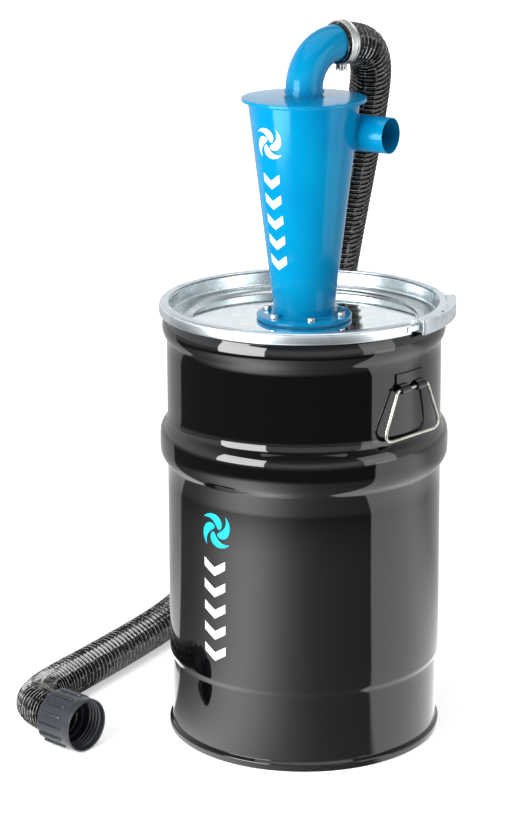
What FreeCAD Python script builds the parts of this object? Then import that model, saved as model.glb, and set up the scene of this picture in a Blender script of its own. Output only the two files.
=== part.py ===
"""Dust collector: a steel cyclone separator on a lidded 60 litre drum, with its spiral suction hose.

Millimetres, +Z up, origin on the floor under the middle of the drum. The outlet elbow heads to
+X +Y, the open inlet stub to +X -Y, and the loose end of the hose lies on the floor at -X.
"""
import FreeCAD
import Part
import Sketcher
import math
import os
from FreeCAD import Placement, Rotation, Vector

SIZES = {
    # Drum shell. Heights ending in "_drop" are measured down from the top of the drum's curl.
    "drum_height": 608.5,
    "drum_radius": 190.5,
    "sheet_wall": 1.2,
    "lower_inset": 3.5,
    "chime_stand_out": 1.5,
    "chime_height": 9,
    "chime_taper": 4,
    "step_height": 104,
    "step_rise": 12,
    "hoop_drop": 154.5,
    "hoop_width": 80,
    "hoop_rise": 10.8,
    "neck_drop": 8.5,
    "neck_width": 37,
    "neck_rise": 6.2,
    "mouth_stand_out": 1.5,
    "curl_size": 6,
    "bottom_recess": 5,
    # Lid, its gasket and the lever-lock closing ring.
    "gasket_height": 4,
    "gasket_width": 6,
    "lid_wall": 1.2,
    "lid_depth": 22.2,
    "lid_shoulder": 2.5,
    "lid_inner_gap": 2.3,
    "lid_skirt_gap": 0.7,
    "lid_skirt_height": 10.2,
    "panel_radius": 156,
    "panel_step": 2.7,
    "panel_slope": 2,
    "lid_opening_radius": 36,
    "ring_wall": 1.8,
    "ring_skirt_gap": 0.6,
    "ring_top_gap": 0.5,
    "ring_lip_gap": 0.3,
    "ring_lip_reach": 4.5,
    "ring_shoulder": 5,
    "ring_inner_stand_out": 0.3,
    "ring_gap_angle": 4.4,
    "closure_angle": -42.5,
    # Closing lever, its pivot and the link across the gap of the ring.
    "lever_wall": 1.2,
    "lever_span_angle": 45,
    "lever_end_radius": 4.1,
    "lever_ring_gap": 0.3,
    "lever_flare": 2.2,
    "lever_height": 19,
    "lever_top_reach": 11.5,
    "slot_width": 3,
    "slot_length": 9,
    "slot_stand_out": 1.5,
    "slot_angle": 16,
    "seal_hole_radius": 1.6,
    "pivot_angle": 1.6,
    "pivot_radius": 1.4,
    "pivot_clearance": 0.06,
    "knuckle_radius": 2.5,
    "pivot_head_radius": 2.8,
    "pivot_head_height": 1.2,
    "link_height": 7,
    "link_wall": 1.4,
    # Handles: a bracket with two rolled loops, and a wire bail.
    "handle_drop": 82.5,
    "handle_wire_radius": 2.2,
    "handle_wire_gap": 0.4,
    "loop_radius": 5.1,
    "loop_wall_gap": 0.3,
    "loop_near": 8,
    "loop_width": 17,
    "bracket_wall": 2.4,
    "bracket_height": 17,
    "bracket_half_angle": 8.2,
    "bracket_overlap": 1,
    "bail_top_half": 31,
    "bail_wide_half": 62,
    "bail_bottom_half": 45,
    "bail_wide_drop": 52,
    "bail_bottom_drop": 67,
    "bail_bend": 7,
    "bail_split": 0.5,
    # Cyclone.
    "flange_gasket_wall": 1.5,
    "gasket_inset": 1,
    "flange_radius": 65.8,
    "flange_wall": 5,
    "bolt_circle": 54,
    "bolt_radius": 3,
    "bolt_hole_radius": 3.3,
    "bolt_head_width": 10,
    "bolt_head_height": 4.5,
    "washer_radius": 6.2,
    "washer_wall": 1.4,
    "nut_height": 5,
    "bolt_tail": 3,
    "cone_wall": 1.5,
    "cone_bottom_radius": 41.3,
    "cone_top_radius": 77,
    "cone_height": 296.5,
    "plate_radius": 85.6,
    "plate_wall": 5,
    "outlet_radius": 25.5,
    "tube_wall": 1.6,
    "finder_depth": 135,
    "finder_stand_up": 11,
    "collar_radius": 27.2,
    "collar_height": 5,
    "elbow_bend": 58,
    "elbow_spigot": 20,
    "outlet_heading": 42,
    "inlet_radius": 25,
    "inlet_root_step": 0.3,
    "inlet_spigot": 38,
    "inlet_drop": 45,
    "inlet_offset": 45.7,
    "inlet_reach": 110,
    "inlet_heading": -32.3,
    # Hose, its clamp and the threaded coupling on its loose end.
    "hose_radius": 29,
    "hose_bore_radius": 25.5,
    "clamp_wall": 1,
    "clamp_width": 14,
    "clamp_setback": 4,
    "clamp_lug_height": 9,
    "clamp_lug_wall": 2,
    "clamp_lug_gap": 5,
    "clamp_screw_radius": 2.2,
    "clamp_head_radius": 4.2,
    "clamp_head_height": 4,
    "clamp_screw_tail": 6,
    "cuff_wall": 1.6,
    "cuff_length": 16,
    "cuff_collar_radius": 34,
    "cuff_collar_width": 4,
    "cuff_lip_length": 5,
    "nut_rear": 18.4,
    "nut_front": 43.6,
    "nut_radius": 36.6,
    "nut_rib_radius": 39,
    "nut_rib_width": 5,
    "nut_rib_inset": 5,
    "nut_rib_root": 0.8,
    "nut_clearance": 0.4,
    "thread_depth": 1.8,
    "thread_pitch": 6,
    "thread_start": 12,
}
BOLT_COUNT = 6
FIRST_BOLT_ANGLE = 40
RIB_COUNT = 14
RIB_TAPER = 0.7
THREAD_COUNT = 5

# Half widths of a thread ridge, as shares of the pitch, at its root and at its crest.
THREAD_ROOT = 0.4
THREAD_CREST = 0.15

# Seal holes of the lever: angle from the pivot in degrees and distance outside the ring.
SEAL_HOLES = [(22, 3), (27, -0.5)]

# How far the closing link reaches, as a share of the gap in the ring.
LINK_REACH = 1.4

# Share of the rolled curl's size that stands outside the drum's mouth.
CURL_SHARE = 0.75

# Middle line of the hose, from the outlet elbow over, down behind the drum and round on the floor
# to the coupling. Its first run lies on the elbow's axis and its last on the coupling's.
HOSE_ROUTE = [
    (42.4, 38.1, 967), (78, 70.2, 967), (95, 97, 935), (91, 122, 878), (77, 164, 785),
    (62, 206, 688), (47, 244, 588), (38, 276, 500), (27, 326, 415), (7, 382, 334),
    (-21, 434, 254), (-56, 470, 172), (-102, 480, 100), (-150, 450, 50), (-186, 386, 29),
    (-218, 303, 29), (-264, 216, 29), (-312, 131, 29), (-354, 60, 30), (-379, 4, 32),
    (-381, -56, 39), (-334, -96, 39),
]
RUN_SHARE = 0.45

# Rise of a quarter circle above the middle of its chord, as a share of its radius.
QUARTER_RISE = 1 - math.sqrt(0.5)

doc = FreeCAD.newDocument("DustCollector")
sheet = doc.addObject("Spreadsheet::Sheet", "Sizes")
parts = {}


class Dim:
    """A size that carries both its number and the expression which ties it to the sheet."""

    def __init__(self, value, text):
        self.value = float(value)
        self.text = text

    def __float__(self):
        return self.value

    def __add__(self, other):
        return combine(self, "+", other)

    def __radd__(self, other):
        return combine(other, "+", self)

    def __sub__(self, other):
        return combine(self, "-", other)

    def __rsub__(self, other):
        return combine(other, "-", self)

    def __mul__(self, other):
        return combine(self, "*", other)

    def __rmul__(self, other):
        return combine(other, "*", self)

    def __truediv__(self, other):
        return combine(self, "/", other)

    def __neg__(self):
        return combine(0, "-", self)


def as_dim(size):
    """Wrap a plain number, and leave a Dim as it is."""
    return size if isinstance(size, Dim) else Dim(size, repr(float(size)))


def combine(left, sign, right):
    """Return left (sign) right as a Dim."""
    left, right = as_dim(left), as_dim(right)
    results = {
        "+": left.value + right.value,
        "-": left.value - right.value,
        "*": left.value * right.value,
        "/": left.value / right.value if right.value else 0.0,
    }
    return Dim(results[sign], f"({left.text} {sign} {right.text})")


class Sizes:
    """The sheet's sizes as attributes, each a Dim bound to its cell."""

    def __init__(self, values):
        for row, (name, value) in enumerate(values.items(), start=1):
            sheet.set(f"A{row}", name)
            sheet.set(f"B{row}", str(value))
            sheet.setAlias(f"B{row}", name)
        doc.recompute()
        for name in values:
            setattr(self, name, Dim(sheet.get(name), f"Sizes.{name}"))


size = Sizes(SIZES)


# ---------------------------------------------------------------- building blocks

def bind(thing, **properties):
    """Tie properties of a document object to the sheet."""
    for name, value in properties.items():
        value = as_dim(value)
        setattr(thing, name, value.value)
        thing.setExpression(name, value.text)


def raise_to(thing, height):
    """Tie an object's height above the floor to the sheet."""
    thing.setExpression("Placement.Base.z", as_dim(height).text)


def keep(label, thing):
    """Register an object as a finished sub-part."""
    thing.Label = label
    parts[label] = thing
    return thing


def new_body(label):
    """Return an empty PartDesign body that becomes the sub-part called label."""
    return keep(label, doc.addObject("PartDesign::Body", label))


def new_sketch(body, role, name):
    """Return a sketch attached to one of the body's own origin planes."""
    sketch = body.newObject("Sketcher::SketchObject", name)
    plane = next(item for item in body.Origin.OriginFeatures if item.Role == role)
    sketch.AttachmentSupport = [(plane, "")]
    sketch.MapMode = "FlatFace"
    return sketch


def constrain(sketch, kind, *arguments, size=None):
    """Add a constraint, tied to the sheet when it carries a size."""
    if size is None:
        sketch.addConstraint(Sketcher.Constraint(kind, *arguments))
        return
    index = sketch.addConstraint(Sketcher.Constraint(kind, *arguments, size.value))
    sketch.setExpression(f"Constraints[{index}]", size.text)


def pin_point(sketch, geometry, end, across, up):
    """Fix one end of a line or an arc at (across, up) in the sketch."""
    for kind, axis, value in (("DistanceX", -2, as_dim(across)), ("DistanceY", -1, as_dim(up))):
        if abs(value.value) < 1e-9:
            constrain(sketch, "PointOnObject", geometry, end, axis)
        else:
            constrain(sketch, kind, geometry, end, size=value)


def draw_outline(sketch, outline):
    """Draw a closed outline of (across, up) corners; a third entry is the rise of an arc.

    The arc runs from its corner to the next one, and a positive rise is to the right of the way.
    """
    segments = []
    for corner, following in zip(outline, outline[1:] + outline[:1]):
        start = Vector(float(corner[0]), float(corner[1]), 0)
        end = Vector(float(following[0]), float(following[1]), 0)
        if len(corner) == 2:
            segments.append((sketch.addGeometry(Part.LineSegment(start, end)), 1, 2))
            continue
        rise = as_dim(corner[2])
        across = as_dim(following[0]) - corner[0]
        up = as_dim(following[1]) - corner[1]
        along = (end - start).normalize()
        middle = (start + end) / 2 + Vector(along.y, -along.x, 0) * rise.value
        index = sketch.addGeometry(Part.Arc(start, middle, end))
        begins = sketch.getPoint(index, 1).distanceToPoint(start) < 1e-6
        radius = ((across * across + up * up) / 4 + rise * rise) / (2 * rise)
        if rise.value < 0:
            radius = -radius
        constrain(sketch, "Radius", index, size=radius)
        segments.append((index, 1, 2) if begins else (index, 2, 1))
    for number, (index, head, _) in enumerate(segments):
        before, _, tail = segments[number - 1]
        constrain(sketch, "Coincident", before, tail, index, head)
        pin_point(sketch, index, head, outline[number][0], outline[number][1])


def turned_body(label, outline, angle=360):
    """Turn an outline of (radius, height) corners about the Z axis."""
    body = new_body(label)
    sketch = new_sketch(body, "XZ_Plane", label + "_outline")
    draw_outline(sketch, outline)
    turn = body.newObject("PartDesign::Revolution", label + "_turn")
    turn.Profile = sketch
    turn.ReferenceAxis = (sketch, ["V_Axis"])
    bind(turn, Angle=angle)
    sketch.Visibility = False
    return body


def circle_pad(body, name, circles, length):
    """Pad a set of circles, given as (radius, x, y), from the body's XY plane upwards."""
    sketch = new_sketch(body, "XY_Plane", name + "_circles")
    for radius, across, up in circles:
        centre = Vector(float(across), float(up), 0)
        index = sketch.addGeometry(Part.Circle(centre, Vector(0, 0, 1), float(radius)))
        constrain(sketch, "Radius", index, size=as_dim(radius))
        pin_point(sketch, index, 3, across, up)
    pad = body.newObject("PartDesign::Pad", name)
    pad.Profile = sketch
    bind(pad, Length=length)
    return pad


def ring_body(label, outer, inner, height, wall):
    """A flat ring that stands on the given height."""
    body = new_body(label)
    circle_pad(body, label + "_pad", [(outer, 0, 0), (inner, 0, 0)], wall)
    raise_to(body, height)
    return body


def shape_part(label, shape):
    """Keep a shape made with Part's own functions as a sub-part."""
    feature = doc.addObject("Part::Feature", label)
    feature.Shape = shape
    return keep(label, feature)


def cylinder(radius, length, base=Vector(0, 0, 0), axis=Vector(0, 0, 1)):
    """Return a plain cylinder shape."""
    return Part.makeCylinder(float(radius), float(length), base, axis)


def tube(outer, inner, length, base=Vector(0, 0, 0), axis=Vector(0, 0, 1)):
    """Return a straight pipe shape."""
    return cylinder(outer, length, base, axis).cut(cylinder(inner, length, base, axis))


def rounded_path(corners, radii):
    """Join straight runs by tangent arcs of the given radii, one for each inner corner."""
    edges = []
    start = corners[0]
    for before, corner, after, radius in zip(corners, corners[1:], corners[2:], radii):
        arriving = (corner - before).normalize()
        leaving = (after - corner).normalize()
        half_turn = arriving.getAngle(leaving) / 2
        reach = radius * math.tan(half_turn)
        inward = (leaving - arriving).normalize()
        middle = corner + inward * (radius / math.cos(half_turn) - radius)
        edges.append(Part.LineSegment(start, corner - arriving * reach).toShape())
        edges.append(Part.Arc(corner - arriving * reach, middle, corner + leaving * reach).toShape())
        start = corner + leaving * reach
    edges.append(Part.LineSegment(start, corners[-1]).toShape())
    return Part.Wire(edges)


def free_radii(corners):
    """Return the largest arc radius that the two runs at each corner leave room for."""
    radii = []
    for before, corner, after in zip(corners, corners[1:], corners[2:]):
        shorter = min((corner - before).Length, (after - corner).Length)
        turn = (corner - before).getAngle(after - corner)
        radii.append(RUN_SHARE * shorter / math.tan(turn / 2))
    return radii


def rod(path, radius):
    """Sweep a round section along a path and compare its volume with section times length."""
    first = path.Edges[0]
    heading = first.tangentAt(first.FirstParameter)
    section = Part.Wire([Part.makeCircle(radius, first.valueAt(first.FirstParameter), heading)])
    solid = path.makePipeShell([section], True, False)
    expected = math.pi * radius ** 2 * path.Length
    if abs(solid.Volume - expected) > 0.01 * expected:
        raise ValueError(f"swept volume {solid.Volume:.0f} differs from {expected:.0f}")
    return solid


def pipe(path, outer, inner):
    """Sweep a hollow round section along a path."""
    return rod(path, float(outer)).cut(rod(path, float(inner)))


def polar(radius, degrees, height=0):
    """Return the point at a radius and an angle from +X."""
    angle = math.radians(degrees)
    return Vector(radius * math.cos(angle), radius * math.sin(angle), height)


def about_z(degrees):
    """Return the placement that turns about the drum's axis."""
    return Placement(Vector(0, 0, 0), Rotation(Vector(0, 0, 1), float(degrees)))


# ---------------------------------------------------------------- shared levels and radii

lower_radius = size.drum_radius - size.lower_inset
chime_radius = size.drum_radius + size.chime_stand_out
mouth_radius = size.drum_radius + size.mouth_stand_out
curl_radius = mouth_radius + size.curl_size * CURL_SHARE
lid_top = size.drum_height + size.gasket_height + size.lid_wall
skirt_inner = curl_radius + size.lid_skirt_gap
skirt_outer = skirt_inner + size.lid_wall
lid_well_radius = mouth_radius - size.sheet_wall - size.lid_inner_gap
land_top = lid_top - size.lid_depth + size.lid_wall
panel_top = land_top - size.panel_step
ring_inner = skirt_outer + size.ring_skirt_gap
ring_outer = ring_inner + size.ring_wall
ring_top = lid_top + size.ring_top_gap + size.ring_wall
lip_top = size.drum_height - size.curl_size - size.ring_lip_gap
lip_bottom = lip_top - size.ring_wall
flange_bottom = panel_top + size.flange_gasket_wall
flange_top = flange_bottom + size.flange_wall
plate_bottom = flange_top + size.cone_height
plate_top = plate_bottom + size.plate_wall
outlet_bore = size.outlet_radius - size.tube_wall
elbow_base = plate_top + size.finder_stand_up
outlet_height = elbow_base + size.elbow_bend


# ---------------------------------------------------------------- drum

def build_drum():
    """Drum shell with its step, hoop, neck bead, rolled mouth and chime, and the recessed bottom."""
    wall = size.sheet_wall
    inside = size.drum_radius - wall
    hoop_top = size.drum_height - size.hoop_drop
    hoop_bottom = hoop_top - size.hoop_width
    neck_top = size.drum_height - size.neck_drop
    neck_bottom = neck_top - size.neck_width
    step_top = size.step_height + size.step_rise
    curl_bottom = size.drum_height - size.curl_size
    curl_start = curl_radius - size.curl_size / 2
    chime_inside = chime_radius - size.curl_size * CURL_SHARE
    turned_body("drum_shell", [
        (chime_radius, 0),
        (chime_radius, size.chime_height),
        (lower_radius, size.chime_height + size.chime_taper),
        (lower_radius, size.step_height),
        (size.drum_radius, step_top),
        (size.drum_radius, hoop_bottom, size.hoop_rise),
        (size.drum_radius, hoop_top),
        (size.drum_radius, neck_bottom, size.neck_rise),
        (mouth_radius, neck_top),
        (mouth_radius, curl_bottom),
        (curl_start, curl_bottom, size.curl_size * 0.48),
        (curl_start, size.drum_height),
        (mouth_radius - wall, size.drum_height),
        (mouth_radius - wall, neck_top, -size.neck_rise),
        (inside, neck_bottom),
        (inside, hoop_top, -size.hoop_rise),
        (inside, hoop_bottom),
        (inside, step_top),
        (lower_radius - wall, size.step_height),
        (lower_radius - wall, size.chime_height + size.chime_taper),
        (chime_inside, size.chime_height),
        (chime_inside, 0),
    ])
    turned_body("drum_bottom", [
        (0, size.bottom_recess),
        (chime_inside, size.bottom_recess),
        (chime_inside, size.bottom_recess + wall),
        (0, size.bottom_recess + wall),
    ])


# ---------------------------------------------------------------- lid and closing ring

def build_lid():
    """Dished lid with a flat panel, and the gasket under its rim."""
    wall = size.lid_wall
    panel_edge = size.panel_radius
    land_edge = panel_edge + size.panel_slope
    skirt_bottom = lid_top - size.lid_skirt_height
    turned_body("lid", [
        (skirt_outer, skirt_bottom),
        (skirt_outer, lid_top - size.lid_shoulder, size.lid_shoulder * QUARTER_RISE),
        (skirt_outer - size.lid_shoulder, lid_top),
        (lid_well_radius - wall, lid_top),
        (lid_well_radius - wall, land_top),
        (land_edge, land_top),
        (panel_edge, panel_top),
        (size.lid_opening_radius, panel_top),
        (size.lid_opening_radius, panel_top - wall),
        (panel_edge - wall / 2, panel_top - wall),
        (land_edge - wall / 2, land_top - wall),
        (lid_well_radius, land_top - wall),
        (lid_well_radius, lid_top - wall),
        (skirt_inner, lid_top - wall),
        (skirt_inner, skirt_bottom),
    ])
    gasket_outer = curl_radius - size.lid_skirt_gap / 2
    ring_body("lid_gasket", gasket_outer, gasket_outer - size.gasket_width,
              size.drum_height, size.gasket_height)
    cut_holes("lid", panel_top - wall, wall)


def cut_holes(label, height, depth):
    """Drill the six flange bolt holes through a body made round the Z axis."""
    body = parts[label]
    sketch = new_sketch(body, "XY_Plane", label + "_bolt_holes")
    base = 0 if body.Placement.Base.z else height
    sketch.AttachmentOffset.Base = Vector(0, 0, float(base))
    sketch.setExpression("AttachmentOffset.Base.z", as_dim(base).text)
    centre = polar(float(size.bolt_circle), FIRST_BOLT_ANGLE)
    share_x = math.cos(math.radians(FIRST_BOLT_ANGLE))
    share_y = math.sin(math.radians(FIRST_BOLT_ANGLE))
    hole = sketch.addGeometry(Part.Circle(centre, Vector(0, 0, 1), float(size.bolt_hole_radius)))
    constrain(sketch, "Radius", hole, size=size.bolt_hole_radius)
    pin_point(sketch, hole, 3, size.bolt_circle * share_x, size.bolt_circle * share_y)
    doc.recompute()
    solid = body.Shape.Volume
    pocket = body.newObject("PartDesign::Pocket", label + "_bolt_hole")
    pocket.Profile = sketch
    pocket.Midplane = True
    bind(pocket, Length=as_dim(depth) * 3)
    pattern = body.newObject("PartDesign::PolarPattern", label + "_bolt_pattern")
    pattern.Originals = [pocket]
    pattern.Axis = (sketch, ["N_Axis"])
    pattern.Angle = 360
    pattern.Occurrences = BOLT_COUNT
    body.Tip = pattern
    doc.recompute()
    expected = BOLT_COUNT * math.pi * float(size.bolt_hole_radius) ** 2 * float(depth)
    removed = solid - body.Shape.Volume
    if abs(removed - expected) > 0.05 * expected:
        raise ValueError(f"{label}: bolt holes removed {removed:.0f}, expected {expected:.0f}")


def build_closing_ring():
    """Split channel ring that clamps the lid to the drum."""
    wall = size.ring_wall
    shoulder = size.ring_shoulder
    inner_edge = lid_well_radius - size.lid_wall + size.ring_inner_stand_out
    lip_edge = ring_outer - wall - size.ring_lip_reach
    body = turned_body("closing_ring", [
        (lip_edge, lip_bottom),
        (ring_outer, lip_bottom),
        (ring_outer, ring_top - shoulder, shoulder * QUARTER_RISE),
        (ring_outer - shoulder, ring_top),
        (inner_edge, ring_top),
        (inner_edge, ring_top - wall),
        (ring_outer - shoulder, ring_top - wall, -(shoulder - wall) * QUARTER_RISE),
        (ring_inner, ring_top - shoulder),
        (ring_inner, lip_top),
        (lip_edge, lip_top),
    ], 360 - size.ring_gap_angle)
    body.Placement = about_z(size.closure_angle + size.ring_gap_angle / 2)


def lever_arc(stand_out, flare, first_angle, span):
    """Return the three points of a lever edge that flares away from the ring."""
    base = float(ring_outer)
    return [
        polar(base + stand_out + flare * share ** 2, first_angle + span * share)
        for share in (0, 0.5, 1)
    ]


def sector_face(inner_points, outer_points):
    """Return the flat face between two arcs, each given by three points."""
    edges = [
        Part.Arc(*inner_points).toShape(),
        Part.LineSegment(inner_points[2], outer_points[2]).toShape(),
        Part.Arc(*outer_points).toShape(),
        Part.LineSegment(outer_points[0], inner_points[0]).toShape(),
    ]
    return Part.Face(Part.Wire(Part.sortEdges(edges)[0]))


def build_closing_lever():
    """Closing lever with its pivot on one end of the ring, and the link from the other end."""
    top = float(ring_top + size.lever_ring_gap + size.lever_wall)
    bottom = top - float(size.lever_height)
    wall = float(size.lever_wall)
    end_radius = float(size.lever_end_radius)
    pivot_reach = float(ring_outer + size.lever_ring_gap) + end_radius
    pivot_angle = float(size.closure_angle + size.ring_gap_angle / 2 + size.pivot_angle)
    pivot = polar(pivot_reach, pivot_angle)
    span = float(size.lever_span_angle)
    stand_out = pivot_reach + end_radius - float(ring_outer)
    flare = float(size.lever_flare)
    outer = lever_arc(stand_out, flare, pivot_angle, span)
    inner = lever_arc(stand_out - wall, flare, pivot_angle, span)
    reach = lever_arc(stand_out - float(size.lever_top_reach), 0, pivot_angle, span)
    side = sector_face(inner, outer).extrude(Vector(0, 0, top - bottom))
    side.translate(Vector(0, 0, bottom))
    cover = sector_face(reach, outer).extrude(Vector(0, 0, wall))
    cover.translate(Vector(0, 0, top - wall))
    lever = side.fuse(cover)
    for level in (top - wall, bottom):
        lever = lever.fuse(cylinder(end_radius, wall, pivot + Vector(0, 0, level)))
    bore = float(size.pivot_radius + size.pivot_clearance)
    lever = lever.cut(cylinder(bore, top - bottom, pivot + Vector(0, 0, bottom)))
    lever = lever.cut(lever_openings(pivot_angle, top, wall))
    shape_part("closing_lever", lever)

    knuckle_bottom = bottom + wall + float(size.lever_ring_gap)
    knuckle_height = top - wall - float(size.lever_ring_gap) - knuckle_bottom
    radius = float(size.knuckle_radius)
    web = Part.makeBox(pivot_reach - float(ring_outer) + radius, 2 * radius, knuckle_height)
    web.translate(Vector(float(ring_outer) - radius, -radius, 0))
    web.rotate(Vector(0, 0, 0), Vector(0, 0, 1), pivot_angle)
    knuckle = web.fuse(cylinder(radius, knuckle_height, pivot))
    knuckle.translate(Vector(0, 0, knuckle_bottom))
    knuckle = knuckle.cut(cylinder(ring_outer, 2 * top))
    knuckle = knuckle.cut(cylinder(size.pivot_radius, 2 * top, pivot))
    shape_part("ring_pivot_lug", knuckle.removeSplitter())

    head = float(size.pivot_head_height)
    gap = float(size.pivot_clearance)
    pin = cylinder(size.pivot_radius, top - bottom + 2 * gap, pivot + Vector(0, 0, bottom - gap))
    for level in (top + gap, bottom - gap - head):
        pin = pin.fuse(cylinder(size.pivot_head_radius, head, pivot + Vector(0, 0, level)))
    shape_part("lever_pivot_pin", pin)

    gap_angle = float(size.ring_gap_angle)
    start = float(size.closure_angle) - gap_angle
    angles = [start + gap_angle * LINK_REACH * share for share in (0, 0.5, 1)]
    link = sector_face(
        [polar(float(ring_outer), angle) for angle in angles],
        [polar(float(ring_outer + size.link_wall), angle) for angle in angles])
    link = link.extrude(Vector(0, 0, float(size.link_height)))
    middle = float(ring_top + lip_bottom) / 2
    link.translate(Vector(0, 0, middle - float(size.link_height) / 2))
    shape_part("closing_link", link)


def lever_openings(pivot_angle, top, wall):
    """Return the padlock slot and the seal holes of the lever's top, as one cutting shape."""
    ring = float(ring_outer)
    length = float(size.slot_length)
    level = top - 1.5 * wall
    slot = Part.makeBox(float(size.slot_width), length, 2 * wall)
    slot.translate(Vector(ring + float(size.slot_stand_out), -length / 2, level))
    slot.rotate(Vector(0, 0, 0), Vector(0, 0, 1), pivot_angle + float(size.slot_angle))
    for angle, stand_out in SEAL_HOLES:
        seat = polar(ring + stand_out, pivot_angle + angle, level)
        slot = slot.fuse(cylinder(size.seal_hole_radius, 2 * wall, seat))
    return slot


# ---------------------------------------------------------------- handles

def build_handle(side, heading):
    """Bracket welded to the shell and the wire bail that hangs in its two loops."""
    axis_reach = float(size.drum_radius + size.loop_wall_gap + size.loop_radius)
    axis_height = float(size.drum_height - size.handle_drop)
    half = float(size.bracket_half_angle)
    wall = float(size.bracket_wall)
    inner = float(size.drum_radius)
    height = float(size.bracket_height)
    plate = sector_face(
        [polar(inner, half * share) for share in (-1, 0, 1)],
        [polar(inner + wall, half * share) for share in (-1, 0, 1)])
    plate = plate.extrude(Vector(0, 0, height))
    overlap = float(size.bracket_overlap)
    plate.translate(Vector(0, 0, axis_height + float(size.loop_radius) - overlap))
    bracket = plate
    bore = float(size.handle_wire_radius + size.handle_wire_gap)
    width = float(size.loop_width)
    for near in (float(size.loop_near), -float(size.loop_near) - width):
        base = Vector(axis_reach, near, axis_height)
        across = Vector(0, 1, 0)
        tab = Part.makeBox(axis_reach - inner, width, float(size.loop_radius) + 2 * overlap)
        tab.translate(Vector(inner, near, axis_height))
        tab = tab.cut(cylinder(size.drum_radius, 2 * axis_height))
        bracket = bracket.fuse([tab, cylinder(size.loop_radius, width, base, across)])
        bracket = bracket.cut(cylinder(bore, width, base, across))
    bracket = shape_part("handle_bracket_" + side, bracket.removeSplitter())
    bracket.Placement = about_z(heading)

    top_half = float(size.bail_top_half)
    wide_half, wide_drop = float(size.bail_wide_half), float(size.bail_wide_drop)
    low_half, low_drop = float(size.bail_bottom_half), float(size.bail_bottom_drop)
    split = float(size.bail_split)
    corners = [
        (split, 0), (top_half, 0), (wide_half, wide_drop), (low_half, low_drop),
        (-low_half, low_drop), (-wide_half, wide_drop), (-top_half, 0), (-split, 0),
    ]
    line = [Vector(axis_reach, across, axis_height - drop) for across, drop in corners]
    path = rounded_path(line, [float(size.bail_bend)] * (len(line) - 2))
    bail = shape_part("bail_" + side, rod(path, float(size.handle_wire_radius)))
    bail.Placement = about_z(heading)


# ---------------------------------------------------------------- cyclone

def inlet_axis():
    """Return the middle of the inlet's mouth and the direction that the inlet faces."""
    facing = polar(1, float(size.inlet_heading))
    beside = Vector(-facing.y, facing.x, 0)
    height = float(plate_bottom - size.inlet_drop)
    mouth = facing * float(size.inlet_reach) + beside * float(size.inlet_offset)
    return mouth + Vector(0, 0, height), facing


def build_cyclone():
    """Flanged cone with its top plate, inner outlet tube, outlet elbow and tangential inlet."""
    wall = size.cone_wall
    cone_bore = size.cone_bottom_radius - wall
    ring_body("flange_gasket", size.flange_radius - size.gasket_inset, cone_bore, panel_top,
              size.flange_gasket_wall)
    ring_body("cyclone_flange", size.flange_radius, cone_bore, flange_bottom, size.flange_wall)
    for label, height, depth in (("flange_gasket", panel_top, size.flange_gasket_wall),
                                 ("cyclone_flange", flange_bottom, size.flange_wall)):
        doc.recompute()
        cut_holes(label, height, depth)
    ring_body("cyclone_top_plate", size.plate_radius, size.outlet_radius, plate_bottom,
              size.plate_wall)
    ring_body("vortex_finder", size.outlet_radius, outlet_bore,
              plate_bottom - size.finder_depth,
              size.finder_depth + size.plate_wall + size.finder_stand_up)
    ring_body("outlet_collar", size.collar_radius, size.outlet_radius,
              elbow_base - size.collar_height, size.collar_height)

    outer_cone = turned_body("cone_blank", [
        (0, flange_top),
        (size.cone_bottom_radius, flange_top),
        (size.cone_top_radius, plate_bottom),
        (0, plate_bottom),
    ])
    shell = turned_body("cone_shell_blank", [
        (cone_bore, flange_top),
        (size.cone_bottom_radius, flange_top),
        (size.cone_top_radius, plate_bottom),
        (size.cone_top_radius - wall, plate_bottom),
    ])
    for blank in (outer_cone, shell):
        del parts[blank.Label]
    doc.recompute()
    mouth, facing = inlet_axis()
    reach = float(size.inlet_reach)
    bore = float(size.inlet_radius - size.tube_wall)
    cone = shell.Shape.cut(cylinder(bore, reach, mouth, -facing))
    shape_part("cyclone_cone", cone)
    spigot = float(size.inlet_spigot)
    stub = tube(size.inlet_radius, bore, spigot, mouth, -facing)
    root_radius = size.inlet_radius + size.inlet_root_step
    root = tube(root_radius, bore, reach - spigot, mouth - facing * spigot, -facing)
    stub = stub.fuse(root).cut(outer_cone.Shape)
    outside = [solid for solid in stub.Solids if solid.distToShape(Part.Vertex(mouth))[0] < 2 * bore]
    shape_part("inlet_stub", outside[0])

    bend = float(size.elbow_bend)
    base, height = float(elbow_base), float(outlet_height)
    end = bend + float(size.elbow_spigot)
    straight = 0.01
    path = rounded_path([Vector(0, 0, base), Vector(0, 0, height), Vector(end, 0, height)],
                        [bend - straight])
    elbow = shape_part("outlet_elbow", pipe(path, size.outlet_radius, outlet_bore))
    elbow.Placement = about_z(size.outlet_heading)


def hexagon(width, height, centre):
    """Return a hexagonal prism of the given width across flats."""
    radius = float(width) / math.sqrt(3)
    corners = [centre + polar(radius, 60 * number) for number in range(7)]
    return Part.Face(Part.makePolygon(corners)).extrude(Vector(0, 0, float(height)))


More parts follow.
